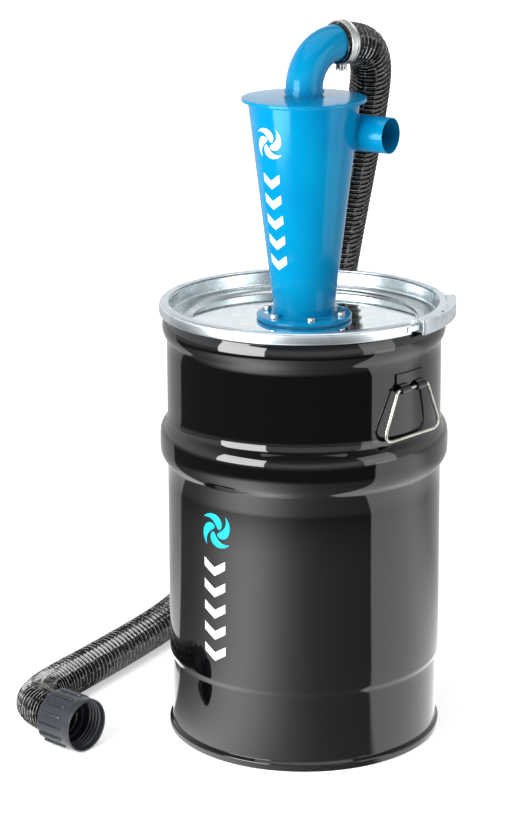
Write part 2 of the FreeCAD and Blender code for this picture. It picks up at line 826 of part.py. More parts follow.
def build_fasteners():
    """Bolts down through flange, gasket and lid, with washers on top and nuts below."""
    under_lid = float(panel_top - size.lid_wall)
    seat = float(flange_top)
    washer = float(size.washer_wall)
    bolts, washers, nuts = [], [], []
    for number in range(BOLT_COUNT):
        centre = polar(float(size.bolt_circle), FIRST_BOLT_ANGLE + 360 / BOLT_COUNT * number)
        tail = under_lid - float(size.nut_height + size.bolt_tail)
        head = seat + washer
        shank = cylinder(size.bolt_radius, head - tail, centre + Vector(0, 0, tail))
        top = hexagon(size.bolt_head_width, size.bolt_head_height, centre + Vector(0, 0, head))
        bolts.append(shank.fuse(top).removeSplitter())
        washers.append(tube(size.washer_radius, size.bolt_radius, washer,
                            centre + Vector(0, 0, seat)))
        nut_base = centre + Vector(0, 0, under_lid - float(size.nut_height))
        nut = hexagon(size.bolt_head_width, size.nut_height, nut_base)
        nuts.append(nut.cut(cylinder(size.bolt_radius, size.nut_height, nut_base)))
    shape_part("flange_bolts", Part.makeCompound(bolts))
    shape_part("flange_washers", Part.makeCompound(washers))
    shape_part("flange_nuts", Part.makeCompound(nuts))


# ---------------------------------------------------------------- hose

def build_hose_clamp():
    """Band clamp with two lugs and its cross screw, round the hose on the elbow."""
    hose = float(size.hose_radius)
    band_radius = hose + float(size.clamp_wall)
    width = float(size.clamp_width)
    start = float(size.elbow_bend + size.clamp_setback)
    height = float(outlet_height)
    along = Vector(1, 0, 0)
    base = Vector(start, 0, height)
    lug_height = float(size.clamp_lug_height)
    lug_wall = float(size.clamp_lug_wall)
    half_gap = float(size.clamp_lug_gap) / 2
    band = tube(band_radius, hose, width, base, along)
    lugs = Part.makeBox(width, 2 * (half_gap + lug_wall), lug_height + hose)
    lugs.translate(Vector(start, -half_gap - lug_wall, height - hose - lug_height))
    lugs = lugs.cut(cylinder(hose, width, base, along))
    top_half = Part.makeBox(width, 2 * band_radius, 2 * band_radius)
    top_half.translate(Vector(start, -band_radius, height - hose / 2))
    band = band.fuse(lugs.cut(top_half))
    slit = Part.makeBox(width, 2 * half_gap, lug_height + 2 * float(size.clamp_wall))
    slit.translate(Vector(start, -half_gap, height - band_radius - lug_height))
    screw_height = height - hose - lug_height / 2 - float(size.clamp_wall)
    centre = Vector(start + width / 2, 0, screw_height)
    across = Vector(0, 1, 0)
    reach = half_gap + lug_wall + float(size.clamp_screw_tail)
    shank = cylinder(size.clamp_screw_radius, 2 * reach, centre - across * reach, across)
    band = band.cut(slit).cut(shank)
    band = shape_part("hose_clamp_band", band.removeSplitter())
    head_length = float(size.clamp_head_height)
    head_start = centre - across * (half_gap + lug_wall + head_length)
    tail = cylinder(size.clamp_screw_radius, half_gap + lug_wall + reach,
                    centre - across * (half_gap + lug_wall), across)
    screw = tail.fuse(cylinder(size.clamp_head_radius, head_length, head_start, across))
    screw = shape_part("hose_clamp_screw", screw.removeSplitter())
    for piece in (band, screw):
        piece.Placement = about_z(size.outlet_heading)


def build_hose():
    """The hose as a plain tube along its route, with the radius of every bend printed."""
    corners = [Vector(*corner) for corner in HOSE_ROUTE]
    radii = free_radii(corners)
    path = rounded_path(corners, radii)
    print("hose length", round(path.Length, 1))
    print("hose bend radii", [round(radius) for radius in radii])
    shape_part("hose", pipe(path, size.hose_radius, size.hose_bore_radius))


def build_coupling():
    """Swivelling ribbed coupling nut on the cuff at the loose end of the hose."""
    end = Vector(*HOSE_ROUTE[-1])
    facing = (end - Vector(*HOSE_ROUTE[-2])).normalize()
    seat = Placement(end, Rotation(Vector(0, 0, 1), facing))
    sleeve = size.hose_radius + size.cuff_wall
    bore = size.hose_bore_radius
    lip_end = size.cuff_collar_width + size.cuff_lip_length
    cuff = turned_body("hose_cuff", [
        (size.hose_radius, -size.cuff_length),
        (sleeve, -size.cuff_length),
        (sleeve, 0),
        (size.cuff_collar_radius, 0),
        (size.cuff_collar_radius, size.cuff_collar_width),
        (size.hose_radius, size.cuff_collar_width),
        (size.hose_radius, lip_end),
        (bore, lip_end),
        (bore, 0),
        (size.hose_radius, 0),
    ])
    cuff.Placement = seat

    gap = size.nut_clearance
    chamber = size.cuff_collar_radius + gap
    outline = [
        (sleeve + gap, -size.nut_rear),
        (size.nut_radius, -size.nut_rear),
        (size.nut_radius, size.nut_front),
        (chamber, size.nut_front),
    ]
    for number in reversed(range(THREAD_COUNT)):
        middle = size.thread_start + number * size.thread_pitch
        for shift, depth in ((THREAD_ROOT, 0), (THREAD_CREST, 1),
                             (-THREAD_CREST, 1), (-THREAD_ROOT, 0)):
            outline.append((chamber - size.thread_depth * depth,
                            middle + size.thread_pitch * shift))
    outline += [(chamber, -gap), (sleeve + gap, -gap)]
    nut = turned_body("coupling_nut", outline)
    sketch = new_sketch(nut, "XY_Plane", "coupling_rib_outline")
    half = size.nut_rib_width / 2
    root = size.nut_radius - size.nut_rib_root
    crest_half = half * RIB_TAPER
    draw_outline(sketch, [
        (root, -half), (size.nut_rib_radius, -crest_half),
        (size.nut_rib_radius, crest_half), (root, half),
    ])
    sketch.setExpression("AttachmentOffset.Base.z", (size.nut_rib_inset - size.nut_rear).text)
    rib = nut.newObject("PartDesign::Pad", "coupling_rib")
    rib.Profile = sketch
    bind(rib, Length=size.nut_rear + size.nut_front - 2 * size.nut_rib_inset)
    ribs = nut.newObject("PartDesign::PolarPattern", "coupling_ribs")
    ribs.Originals = [rib]
    ribs.Axis = (sketch, ["N_Axis"])
    ribs.Angle = 360
    ribs.Occurrences = RIB_COUNT
    nut.Tip = ribs
    nut.Placement = seat


# ---------------------------------------------------------------- checks and export

def check_document():
    """Stop when any object failed to compute or any sub-part has no sound solid."""
    for thing in doc.Objects:
        if "Invalid" in thing.State or "Error" in thing.State:
            raise ValueError(f"{thing.Label}: {thing.State}")
    for label, thing in parts.items():
        shape = thing.Shape
        if shape.isNull() or not shape.isValid() or not shape.Solids or shape.Volume <= 0:
            raise ValueError(f"{label}: no sound solid")


def export_parts():
    """Write each sub-part to its own STEP file."""
    os.makedirs("parts", exist_ok=True)
    for label, thing in parts.items():
        thing.Shape.exportStep(os.path.join("parts", label + ".step"))
        box = thing.Shape.BoundBox
        print(f"{label}: {len(thing.Shape.Solids)} solid(s), {thing.Shape.Volume / 1000:.1f} cm3, "
              f"x {box.XMin:.1f}..{box.XMax:.1f} y {box.YMin:.1f}..{box.YMax:.1f} "
              f"z {box.ZMin:.1f}..{box.ZMax:.1f}")


build_drum()
build_lid()
build_closing_ring()
build_closing_lever()
build_handle("right", -42)
build_handle("left", 138)
build_cyclone()
build_fasteners()
build_hose_clamp()
build_hose()
build_coupling()
doc.recompute()
check_document()
export_parts()
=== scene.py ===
"""A cyclone dust collector: gloss drum, galvanised lid, painted cyclone and spiral suction hose.

Each sub-assembly is a class with its sizes in metres and the methods that build and dress it.
Each finish is a frozen dataclass that makes one node material. The drum's axis is +Z.
"""
import logging
import math
from dataclasses import dataclass, field
from enum import Enum
from typing import Optional, Sequence, Union

import bmesh
import bpy
import numpy as np
from mathutils import Matrix, Vector

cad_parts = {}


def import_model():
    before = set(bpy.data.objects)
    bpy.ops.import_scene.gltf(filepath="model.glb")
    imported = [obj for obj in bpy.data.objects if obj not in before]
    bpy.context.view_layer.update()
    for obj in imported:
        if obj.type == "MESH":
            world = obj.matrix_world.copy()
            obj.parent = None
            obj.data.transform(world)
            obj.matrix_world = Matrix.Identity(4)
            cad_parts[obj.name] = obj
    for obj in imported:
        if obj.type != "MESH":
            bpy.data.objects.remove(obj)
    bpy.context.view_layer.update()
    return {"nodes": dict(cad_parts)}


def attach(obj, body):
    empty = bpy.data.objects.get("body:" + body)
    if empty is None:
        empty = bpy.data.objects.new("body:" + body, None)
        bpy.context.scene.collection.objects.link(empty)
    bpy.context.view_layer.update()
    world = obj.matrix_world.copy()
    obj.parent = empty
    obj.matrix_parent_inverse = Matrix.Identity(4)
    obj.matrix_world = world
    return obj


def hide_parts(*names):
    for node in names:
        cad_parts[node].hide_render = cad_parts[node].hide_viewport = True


LOG = logging.getLogger("dust_collector")
Number = Union[int, float]
Point = tuple[float, float, float]
Outline = list[tuple[float, float]]


class Body(Enum):
    """The bodies that pieces ride on."""

    DRUM = "drum"
    RIGHT_BAIL = "right_bail"
    LEFT_BAIL = "left_bail"
    LEVER = "lever"
    COUPLING = "coupling"


class Slot(Enum):
    """The record's material slots."""

    DRUM = "drum_paint"
    BLUE = "blue_paint"
    LID = "galvanised_lid"
    RING = "zinc_ring"
    HARDWARE = "zinc_hardware"
    WIRE = "zinc_wire"
    GASKET = "gasket_rubber"
    HOSE = "hose_plastic"
    COUPLING = "coupling_plastic"


# ------------------------------------------------------------------ node trees


class Expr:
    """A socket of a node tree on which the usual operators add Math nodes."""

    def __init__(self, maker: "NodeMaker", socket: bpy.types.NodeSocket) -> None:
        """Keep the tree's maker and the socket that holds the value."""
        self.maker = maker
        self.socket = socket

    def math(self, operation: str, *others: Union["Expr", Number], first: bool = True) -> "Expr":
        """Add one Math node.

        Args:
            operation: the Math node's operation.
            others: the other operands.
            first: whether this value is the first operand.

        Returns:
            The node's result.
        """
        values = [self, *others] if first else [*others, self]
        node = self.maker.node("ShaderNodeMath", {"operation": operation}, dict(enumerate(values)))
        return Expr(self.maker, node.outputs[0])

    def __add__(self, other: Union["Expr", Number]) -> "Expr":
        """Return self + other."""
        return self.math("ADD", other)

    __radd__ = __add__

    def __sub__(self, other: Union["Expr", Number]) -> "Expr":
        """Return self - other."""
        return self.math("SUBTRACT", other)

    def __rsub__(self, other: Number) -> "Expr":
        """Return other - self."""
        return self.math("SUBTRACT", other, first=False)

    def __mul__(self, other: Union["Expr", Number]) -> "Expr":
        """Return self * other."""
        return self.math("MULTIPLY", other)

    __rmul__ = __mul__

    def __truediv__(self, other: Union["Expr", Number]) -> "Expr":
        """Return self / other."""
        return self.math("DIVIDE", other)

    def __pow__(self, other: Number) -> "Expr":
        """Return self to the power of other."""
        return self.math("POWER", other)

    def sin(self) -> "Expr":
        """Return the sine."""
        return self.math("SINE")

    def cos(self) -> "Expr":
        """Return the cosine."""
        return self.math("COSINE")

    def floor(self) -> "Expr":
        """Return the whole part below."""
        return self.math("FLOOR")

    def clamp(self, low: Number = 0, high: Union["Expr", Number] = 1) -> "Expr":
        """Return the value held between low and high."""
        return self.math("MAXIMUM", low).math("MINIMUM", high)

    def ramp(self, low: Number, high: Number) -> "Expr":
        """Return 0 below low, 1 above high and a smooth rise between them."""
        share = ((self - low) / (high - low)).clamp()
        return share * share * (3 - 2 * share)


Feed = Union[Expr, bpy.types.NodeSocket, Number, tuple, str, bpy.types.ID]


class NodeMaker:
    """Adds nodes to one node tree."""

    def __init__(self, tree: bpy.types.NodeTree) -> None:
        """Keep the tree."""
        self.tree = tree

    def node(self, kind: str, settings: Optional[dict] = None,
             inputs: Optional[dict[Union[int, str], Feed]] = None) -> bpy.types.Node:
        """Add a node.

        Args:
            kind: the node's type.
            settings: its settings, set before its sockets.
            inputs: values or links for its sockets, by index or name.

        Returns:
            The new node.
        """
        node = self.tree.nodes.new(kind)
        for key, value in (settings or {}).items():
            setattr(node, key, value)
        for key, value in (inputs or {}).items():
            self.feed(node.inputs[key], value)
        return node

    def feed(self, socket: bpy.types.NodeSocket, value: Feed) -> None:
        """Link a value to a socket, or set it there.

        Args:
            socket: the socket that takes the value.
            value: a constant, a socket or an expression.
        """
        if isinstance(value, Expr):
            value = value.socket
        if isinstance(value, bpy.types.NodeSocket):
            self.tree.links.new(value, socket)
        else:
            socket.default_value = value

    def value(self, kind: str, settings: Optional[dict] = None,
              inputs: Optional[dict] = None, output: Union[int, str] = 0) -> Expr:
        """Add a node and return one of its outputs as an expression."""
        return Expr(self, self.node(kind, settings, inputs).outputs[output])

    def vector(self, operation: str, *values: Feed) -> Expr:
        """Add a Vector Math node and return its vector."""
        return self.value("ShaderNodeVectorMath", {"operation": operation},
                          dict(enumerate(values)))

    def scaled(self, vector: Feed, factor: Feed) -> Expr:
        """Return a vector times a number."""
        return self.value("ShaderNodeVectorMath", {"operation": "SCALE"},
                          {0: vector, "Scale": factor})

    def split(self, vector: Feed) -> tuple[Expr, Expr, Expr]:
        """Return the three parts of a vector."""
        node = self.node("ShaderNodeSeparateXYZ", None, {0: vector})
        return tuple(Expr(self, output) for output in node.outputs)


class MaterialMaker(NodeMaker):
    """Builds one material around a Principled shader."""

    def __init__(self, name: str) -> None:
        """Start an empty material of that name.

        Args:
            name: the material's name.
        """
        self.material = bpy.data.materials.new(name)
        self.material.use_nodes = True
        super().__init__(self.material.node_tree)
        self.tree.nodes.clear()
        self.shader = self.node("ShaderNodeBsdfPrincipled")
        self.output = self.node("ShaderNodeOutputMaterial")
        self.tree.links.new(self.shader.outputs[0], self.output.inputs[0])
        self.place = self.node("ShaderNodeTexCoord").outputs["Object"]

    def noise(self, scale: float, detail: float = 2.0, roughness: float = 0.5,
              stretch: Optional[Point] = None) -> Expr:
        """Return a noise pattern in the object's own place, stretched along its axes if asked.

        Args:
            scale: the pattern's scale, per metre.
            detail: its number of octaves.
            roughness: how strong its fine detail is.
            stretch: factors along the object's axes, if any.

        Returns:
            The pattern's value.
        """
        place = self.place
        if stretch:
            place = self.vector("MULTIPLY", place, stretch)
        return self.value("ShaderNodeTexNoise", {"noise_dimensions": "3D"}, {
            "Vector": place, "Scale": scale, "Detail": detail, "Roughness": roughness})

    def mix(self, share: Feed, first: Feed, second: Feed) -> Expr:
        """Return the blend of two colours."""
        node = self.node("ShaderNodeMix", {"data_type": "RGBA"}, {0: share, 6: first, 7: second})
        return Expr(self, node.outputs[2])

    def bump(self, height: Feed, depth: float, strength: float = 1.0) -> Expr:
        """Return the normal of a surface raised by height times depth metres."""
        return self.value("ShaderNodeBump", None, {
            "Strength": strength, "Distance": depth, "Height": height})

    def attribute(self, name: str) -> Expr:
        """Return a number that is stored at the points of the mesh."""
        return self.value("ShaderNodeAttribute", {"attribute_name": name}, output="Fac")

    def polar(self) -> tuple[Expr, Expr, Expr]:
        """Return distance from the drum's axis, angle about it and height.

        Returns:
            The distance, the angle and the height.
        """
        across, along, height = self.split(self.place)
        reach = (across * across + along * along).math("SQRT")
        angle = along.math("ARCTAN2", across)
        return reach, angle, height

    def dress(self, **sockets: Feed) -> bpy.types.Material:
        """Feed the shader's sockets, with _ for the spaces in their names.

        Returns:
            The finished material.
        """
        for name, value in sockets.items():
            self.feed(self.shader.inputs[name.replace("_", " ")], value)
        return self.material


# ------------------------------------------------------------------ finishes


def rgb(red: float, green: float, blue: float) -> tuple[float, float, float, float]:
    """Return an opaque linear colour from 0 to 255 screen values.

    Args:
        red: the red level.
        green: the green level.
        blue: the blue level.

    Returns:
        The colour, fully opaque.
    """
    def linear(level: float) -> float:
        """Return one channel without its screen curve."""
        share = level / 255
        return share / 12.92 if share <= 0.04045 else ((share + 0.055) / 1.055) ** 2.4
    return (linear(red), linear(green), linear(blue), 1.0)


@dataclass(frozen=True)
class DrumPaint:
    """Baked gloss enamel on rolled sheet, faintly rippled, with rubbed hoops and a dusty foot."""

    name: str = "drum_enamel"
    colour: tuple = rgb(7, 7, 9)
    rubbed: tuple = rgb(48, 48, 50)
    gloss: float = 0.035
    ior: float = 1.55
    patch_scale: float = 9
    grain_scale: float = 260
    scuff_scale: float = 60
    ripple_scale: float = 7
    hoop_crest: tuple = (0.199, 0.2015)
    dusty_foot: tuple = (0.002, 0.02)
    ripple_depth: float = 0.0006
    peel_depth: float = 0.00003

    def material(self) -> bpy.types.Material:
        """Return the material.

        Returns:
            The finished material.
        """
        make = MaterialMaker(self.name)
        reach, _, height = make.polar()
        patches = make.noise(self.patch_scale, 3)
        grain = make.noise(self.grain_scale, 2)
        scuffs = make.noise(self.scuff_scale, 6, 0.7, (1, 1, 6))
        crest = reach.ramp(*self.hoop_crest) * scuffs.ramp(0.6, 0.8) * 0.3
        foot = 1 - height.ramp(*self.dusty_foot)
        wear = (crest * 0.5 + foot * scuffs.ramp(0.45, 0.7) * 0.5).clamp()
        roughness = self.gloss + patches * 0.02 + wear * 0.25
        ripple = make.noise(self.ripple_scale, 1, 0.4, (1, 1, 0.6))
        surface = make.bump(ripple, self.ripple_depth)
        peel = make.value("ShaderNodeBump", None, {
            "Strength": 0.25, "Distance": self.peel_depth, "Height": grain, "Normal": surface})
        return make.dress(Base_Color=make.mix(wear, self.colour, self.rubbed),
                          Roughness=roughness, Normal=peel, IOR=self.ior)


@dataclass(frozen=True)
class BluePaint:
    """Glossy powder coat with fine orange peel over welded sheet."""

    name: str = "cyclone_blue"
    colour: tuple = rgb(0, 138, 186)
    deep: tuple = rgb(0, 120, 178)
    gloss: float = 0.1
    ior: float = 1.38
    gloss_tint: tuple = (0.4, 0.82, 1.0, 1.0)
    cloud_scale: float = 14
    peel_scale: float = 420
    wave_scale: float = 30
    speck_scale: float = 900
    relief: float = 0.00006

    def material(self) -> bpy.types.Material:
        """Return the material.

        Returns:
            The finished material.
        """
        make = MaterialMaker(self.name)
        cloud = make.noise(self.cloud_scale, 3)
        peel = make.noise(self.peel_scale, 2)
        wave = make.noise(self.wave_scale, 1)
        specks = make.noise(self.speck_scale, 1).ramp(0.68, 0.78)
        colour = make.mix(cloud.ramp(0.35, 0.7) * 0.5 + specks * 0.25, self.colour, self.deep)
        surface = make.bump(peel + wave * 2, self.relief, 0.5)
        return make.dress(Base_Color=colour, Roughness=self.gloss + cloud * 0.06,
                          Normal=surface, IOR=self.ior, Specular_Tint=self.gloss_tint)


@dataclass(frozen=True)
class GalvanisedSheet:
    """Bright galvanised sheet: a mirror-like panel, a drawn wall and faint spangle."""

    name: str = "galvanised_sheet"
    colour: tuple = rgb(234, 240, 242)
    shade: tuple = rgb(176, 188, 192)
    panel_edge: float = 0.156
    edge_blend: float = 0.002
    panel_gloss: float = 0.025
    wall_gloss: float = 0.2
    spangle_scale: float = 85.0
    smear_scale: float = 16
    drawn_rings: float = 900
    drawn_turns: float = 2.5
    relief: float = 0.00008

    def material(self) -> bpy.types.Material:
        """Return the material.

        Returns:
            The finished material.
        """
        make = MaterialMaker(self.name)
        reach, angle, _ = make.polar()
        cells = make.value("ShaderNodeTexVoronoi", {"feature": "F1"},
                           {"Vector": make.place, "Scale": self.spangle_scale}, "Color")
        tone, _, _ = make.split(cells)
        rings = make.value("ShaderNodeCombineXYZ", None,
                           {0: reach * self.drawn_rings, 1: angle * self.drawn_turns})
        drawn = make.value("ShaderNodeTexNoise", {"noise_dimensions": "2D"},
                           {"Vector": rings, "Scale": 1.0, "Detail": 3.0})
        outside = reach.ramp(self.panel_edge - self.edge_blend, self.panel_edge + self.edge_blend)
        smear = make.noise(self.smear_scale, 4, 0.6)
        roughness = (self.panel_gloss + outside * (self.wall_gloss - self.panel_gloss)
                     + tone * 0.02 + smear * 0.04 + drawn * outside * 0.08)
        colour = make.mix((tone * 0.25 + smear * 0.35 + outside * drawn * 0.3).clamp(),
                          self.colour, self.shade)
        surface = make.bump(drawn * outside + smear * 0.6, self.relief, 0.5)
        return make.dress(Base_Color=colour, Metallic=1.0, Roughness=roughness, Normal=surface)


@dataclass(frozen=True)
class ZincPlate:
    """Zinc plated steel with a cool bloom, fine scratches and duller patches."""

    name: str = "zinc_plate"
    colour: tuple = rgb(224, 231, 235)
    bloom: tuple = rgb(178, 190, 199)
    gloss: float = 0.24
    grain_scale: float = 300.0
    patch_scale: float = 35
    line_scale: float = 120
    relief: float = 0.00002

    def material(self) -> bpy.types.Material:
        """Return the material.

        Returns:
            The finished material.
        """
        make = MaterialMaker(self.name)
        patches = make.noise(self.patch_scale, 4, 0.6)
        grain = make.noise(self.grain_scale, 3, 0.6)
        lines = make.noise(self.line_scale, 2, 0.5, (1, 1, 14))
        share = (patches.ramp(0.35, 0.75) * 0.6 + grain * 0.25).clamp()
        surface = make.bump(grain + lines, self.relief, 0.6)
        return make.dress(Base_Color=make.mix(share, self.colour, self.bloom), Metallic=1.0,
                          Roughness=self.gloss + patches * 0.12 + lines * 0.06, Normal=surface)


@dataclass(frozen=True)
class HoseFilm:
    """Black vinyl film drawn over a steel spiral: glossy crests with the wire showing through, and
    soft folds with painted highlight lines along them.
    """

    name: str = "hose_film"
    colour: tuple = rgb(8, 8, 8)
    # pale colour for the wire's silver on the crests and for the painted highlight lines along the
    # folds
    wire_and_highlight_colour: tuple = rgb(188, 185, 181)
    gloss: float = 0.09
    ior: float = 1.5
    pleats: int = 11
    break_scale: float = 130
    cloth_scale: float = 70
    relief: float = 0.0005

    def material(self) -> bpy.types.Material:
        """Return the material.

        Returns:
            The finished material.
        """
        make = MaterialMaker(self.name)
        crest, around = make.attribute("crest"), make.attribute("around")
        folds = ((around * (math.tau * self.pleats)).sin() * 0.5 + 0.5) ** 10
        broken = make.noise(self.break_scale, 2, 0.5)
        cloth = make.noise(self.cloth_scale, 3)
        wire = crest.ramp(0.80, 0.99) * broken.ramp(0.34, 0.56) * 0.8
        # painted highlight: pale lines along the pleats stand in for reflections of the studio
        # lights; the silver on the crests is the wire under the film
        painted_glint = folds * broken.ramp(0.46, 0.66) * 0.5
        colour = make.mix(wire.math("MAXIMUM", painted_glint).clamp(), self.colour, self.wire_and_highlight_colour)
        surface = make.bump(folds + cloth * 0.6 + broken * 0.4, self.relief, 0.8)
        return make.dress(Base_Color=colour, Roughness=self.gloss + cloth * 0.1,
                          Normal=surface, IOR=self.ior)


@dataclass(frozen=True)
class MouldedPlastic:
    """Injection moulded slate plastic with a fine spark grain and rubbed high spots."""

    name: str = "moulded_plastic"
    colour: tuple = rgb(40, 43, 49)
    rubbed: tuple = rgb(62, 66, 72)
    gloss: float = 0.28
    ior: float = 1.48
    grain_scale: float = 1400
    cloud_scale: float = 45
    scuff_scale: float = 170
    relief: float = 0.00004

    def material(self) -> bpy.types.Material:
        """Return the material.

        Returns:
            The finished material.
        """
        make = MaterialMaker(self.name)
        grain = make.noise(self.grain_scale, 2)
        cloud = make.noise(self.cloud_scale, 3)
        scuffs = make.noise(self.scuff_scale, 5, 0.7).ramp(0.56, 0.72)
        colour = make.mix((scuffs * 0.35 + cloud * 0.2).clamp(), self.colour, self.rubbed)
        return make.dress(Base_Color=colour, Roughness=self.gloss + cloud * 0.1 + scuffs * 0.12,
                          Normal=make.bump(grain + cloud, self.relief, 0.7), IOR=self.ior)


@dataclass(frozen=True)
class Rubber:
    """Dull moulded rubber with dust on it."""

    name: str = "black_rubber"
    colour: tuple = rgb(22, 22, 23)
    dusty: tuple = rgb(46, 45, 44)
    dust_scale: float = 120
    grain_scale: float = 900
    relief: float = 0.00005

    def material(self) -> bpy.types.Material:
        """Return the material.

        Returns:
            The finished material.
        """
        make = MaterialMaker(self.name)
        dust = make.noise(self.dust_scale, 4, 0.7)
        grain = make.noise(self.grain_scale, 2)
        return make.dress(Base_Color=make.mix(dust.ramp(0.45, 0.75), self.colour, self.dusty),
                          Roughness=0.55 + dust * 0.2, Normal=make.bump(grain, self.relief, 0.6))


@dataclass(frozen=True)
class Vinyl:
    """Cut vinyl film stuck on paint, with a slight texture and soft gloss."""

    name: str
    colour: tuple
    shade: tuple
    ior: float = 1.45
    cloud_scale: float = 40
    grain_scale: float = 700
    relief: float = 0.00002

    def material(self) -> bpy.types.Material:
        """Return the material.

        Returns:
            The finished material.
        """
        make = MaterialMaker(self.name)
        cloud = make.noise(self.cloud_scale, 3)
        grain = make.noise(self.grain_scale, 2)
        return make.dress(Base_Color=make.mix(cloud.ramp(0.4, 0.8) * 0.6, self.colour, self.shade),
                          Roughness=0.3 + cloud * 0.08,
                          Normal=make.bump(grain, self.relief, 0.4), IOR=self.ior)


class Finishes:
    """One material of each finish, made once."""

    def __init__(self) -> None:
        """Make the materials."""
        self.drum = DrumPaint().material()
        self.blue = BluePaint().material()
        self.lid = GalvanisedSheet().material()
        self.ring = ZincPlate("zinc_ring_plate").material()
        self.hardware = ZincPlate("zinc_hardware_plate", rgb(214, 216, 214), rgb(150, 152, 150),
                                  gloss=0.22, grain_scale=600.0).material()
        self.wire = ZincPlate("zinc_wire_plate", rgb(214, 210, 202), rgb(140, 136, 128),
                              gloss=0.2, grain_scale=500.0).material()
        self.hose = HoseFilm().material()
        self.coupling = MouldedPlastic().material()
        self.rubber = Rubber().material()
        self.seal = Rubber("blue_seal", rgb(10, 104, 156), rgb(24, 124, 176)).material()
        self.white_vinyl = Vinyl("white_vinyl", rgb(246, 247, 248), rgb(228, 231, 233)).material()
        self.cyan_vinyl = Vinyl("cyan_vinyl", rgb(0, 190, 214), rgb(0, 170, 200)).material()


# ------------------------------------------------------------------ meshes


def polar_point(radius: float, angle: float, height: float) -> Point:
    """Return the point at a radius, an angle in radians and a height about the Z axis."""
    return (radius * math.cos(angle), radius * math.sin(angle), height)


def grid_faces(rows: int, width: int, closed: bool = False, first: int = 0) -> list:
    """Return the faces between rows of points.

    Args:
        rows: number of rows.
        width: number of points in a row.
        closed: whether each row joins up with its own start.
        first: number of the first row's first point.

    Returns:
        The corner numbers of each face.
    """
    faces = []
    for row in range(rows - 1):
        low = first + row * width
        for here in range(width if closed else width - 1):
            after = (here + 1) % width
            faces.append((low + here, low + after, low + width + after, low + width + here))
    return faces


def headings(points: Sequence[Vector]) -> list[Vector]:
    """Return the direction of a line at each of its points.

    Args:
        points: the line's points.

    Returns:
        A unit vector for each point.
    """
    last = len(points) - 1
    return [(points[min(k + 1, last)] - points[max(k - 1, 0)]).normalized()
            for k in range(len(points))]


def tube_points(stations: Sequence[tuple[Vector, Vector, float]], sides: int) -> list[Vector]:
    """Return the points of round sections along a line, without twist from one to the next.

    Args:
        stations: the middle, direction and radius of each section.
        sides: number of points in a section.

    Returns:
        The points, section after section.
    """
    normal = Vector((0, 0, 1))
    points = []
    for here, along, radius in stations:
        normal = (normal - along * normal.dot(along)).normalized()
        side = along.cross(normal)
        for step in range(sides):
            angle = math.tau * step / sides
            points.append(here + (normal * math.cos(angle) + side * math.sin(angle)) * radius)
    return points


def new_piece(name: str, vertices: Sequence, faces: Sequence,
              smooth: float = 35) -> bpy.types.Object:
    """Make a mesh object.

    Args:
        name: the piece's name.
        vertices: points in metres.
        faces: corner numbers of each face.
        smooth: the angle in degrees past which an edge stays sharp.

    Returns:
        The new object, at the origin.
    """
    mesh = bpy.data.meshes.new(name)
    mesh.from_pydata([tuple(v) for v in vertices], [], [tuple(f) for f in faces])
    mesh.validate()
    piece = bpy.data.objects.new(name, mesh)
    bpy.context.scene.collection.objects.link(piece)
    tidy_mesh(piece, smooth)
    return piece


def tidy_mesh(piece: bpy.types.Object, smooth: float = 35, turn_out: bool = True) -> None:
    """Merge doubles, point the faces outwards and smooth them up to an angle.

    Args:
        piece: the piece.
        smooth: the angle in degrees past which an edge stays sharp.
        turn_out: whether its faces are turned outwards.
    """
    mesh = piece.data
    work = bmesh.new()
    work.from_mesh(mesh)
    bmesh.ops.remove_doubles(work, verts=work.verts, dist=1e-6)
    if turn_out:
        bmesh.ops.recalc_face_normals(work, faces=work.faces)
    work.to_mesh(mesh)
    work.free()
    mesh.shade_smooth()
    mesh.set_sharp_from_angle(angle=math.radians(smooth))


def rounded(corners: Sequence[Sequence[float]], steps: int = 5) -> Outline:
    """Round the corners of a closed outline.

    Args:
        corners: (across, up) or (across, up, radius) of each corner, in order.
        steps: number of chords in each rounded corner.

    Returns:
        The points of the outline.
    """
    points: Outline = []
    count = len(corners)
    for number, corner in enumerate(corners):
        here = Vector(corner[:2])
        radius = corner[2] if len(corner) > 2 else 0.0
        before = Vector(corners[number - 1][:2]) - here
        after = Vector(corners[(number + 1) % count][:2]) - here
        if radius <= 0 or min(before.length, after.length) < 1e-9:
            points.append(tuple(here))
            continue
        half = before.angle(after) / 2
        reach = min(radius / math.tan(half), 0.49 * before.length, 0.49 * after.length)
        start = here + before.normalized() * reach
        end = here + after.normalized() * reach
        for step in range(steps + 1):
            share = step / steps
            points.append(tuple(start.lerp(here, share).lerp(here.lerp(end, share), share)))
    return points


def turned(name: str, outline: Outline, segments: int = 192, first: float = 0.0,
           sweep: float = 360.0, smooth: float = 35) -> bpy.types.Object:
    """Turn a closed outline about the Z axis.

    Args:
        name: the piece's name.
        outline: (radius, height) of its points in metres.
        segments: number of steps in the turn.
        first: the angle at which the turn starts, in degrees.
        sweep: how far it turns, in degrees; less than a full turn leaves capped ends.
        smooth: the angle past which an edge stays sharp.

    Returns:
        The new piece.
    """
    whole = sweep >= 360
    count = len(outline)
    columns = segments if whole else segments + 1
    vertices = []
    for column in range(columns):
        angle = math.radians(first + sweep * column / segments)
        vertices += [polar_point(radius, angle, height) for radius, height in outline]
    faces = []
    for column in range(segments):
        here, there = column * count, ((column + 1) % columns) * count
        for number in range(count):
            after = (number + 1) % count
            faces.append((here + number, there + number, there + after, here + after))
    if not whole:
        faces.append(tuple(range(count)))
        faces.append(tuple(range((columns - 1) * count, columns * count)))
    return new_piece(name, vertices, faces, smooth)


def bevelled(piece: bpy.types.Object, width: float, segments: int = 2) -> bpy.types.Object:
    """Round a piece's edges for good and return it.

    Args:
        piece: the piece.
        width: the rounding's width in metres.
        segments: number of steps in the rounding.

    Returns:
        The same piece.
    """
    modifier = piece.modifiers.new("edges", "BEVEL")
    modifier.width = width
    modifier.segments = segments
    modifier.limit_method = "ANGLE"
    return settled(piece)


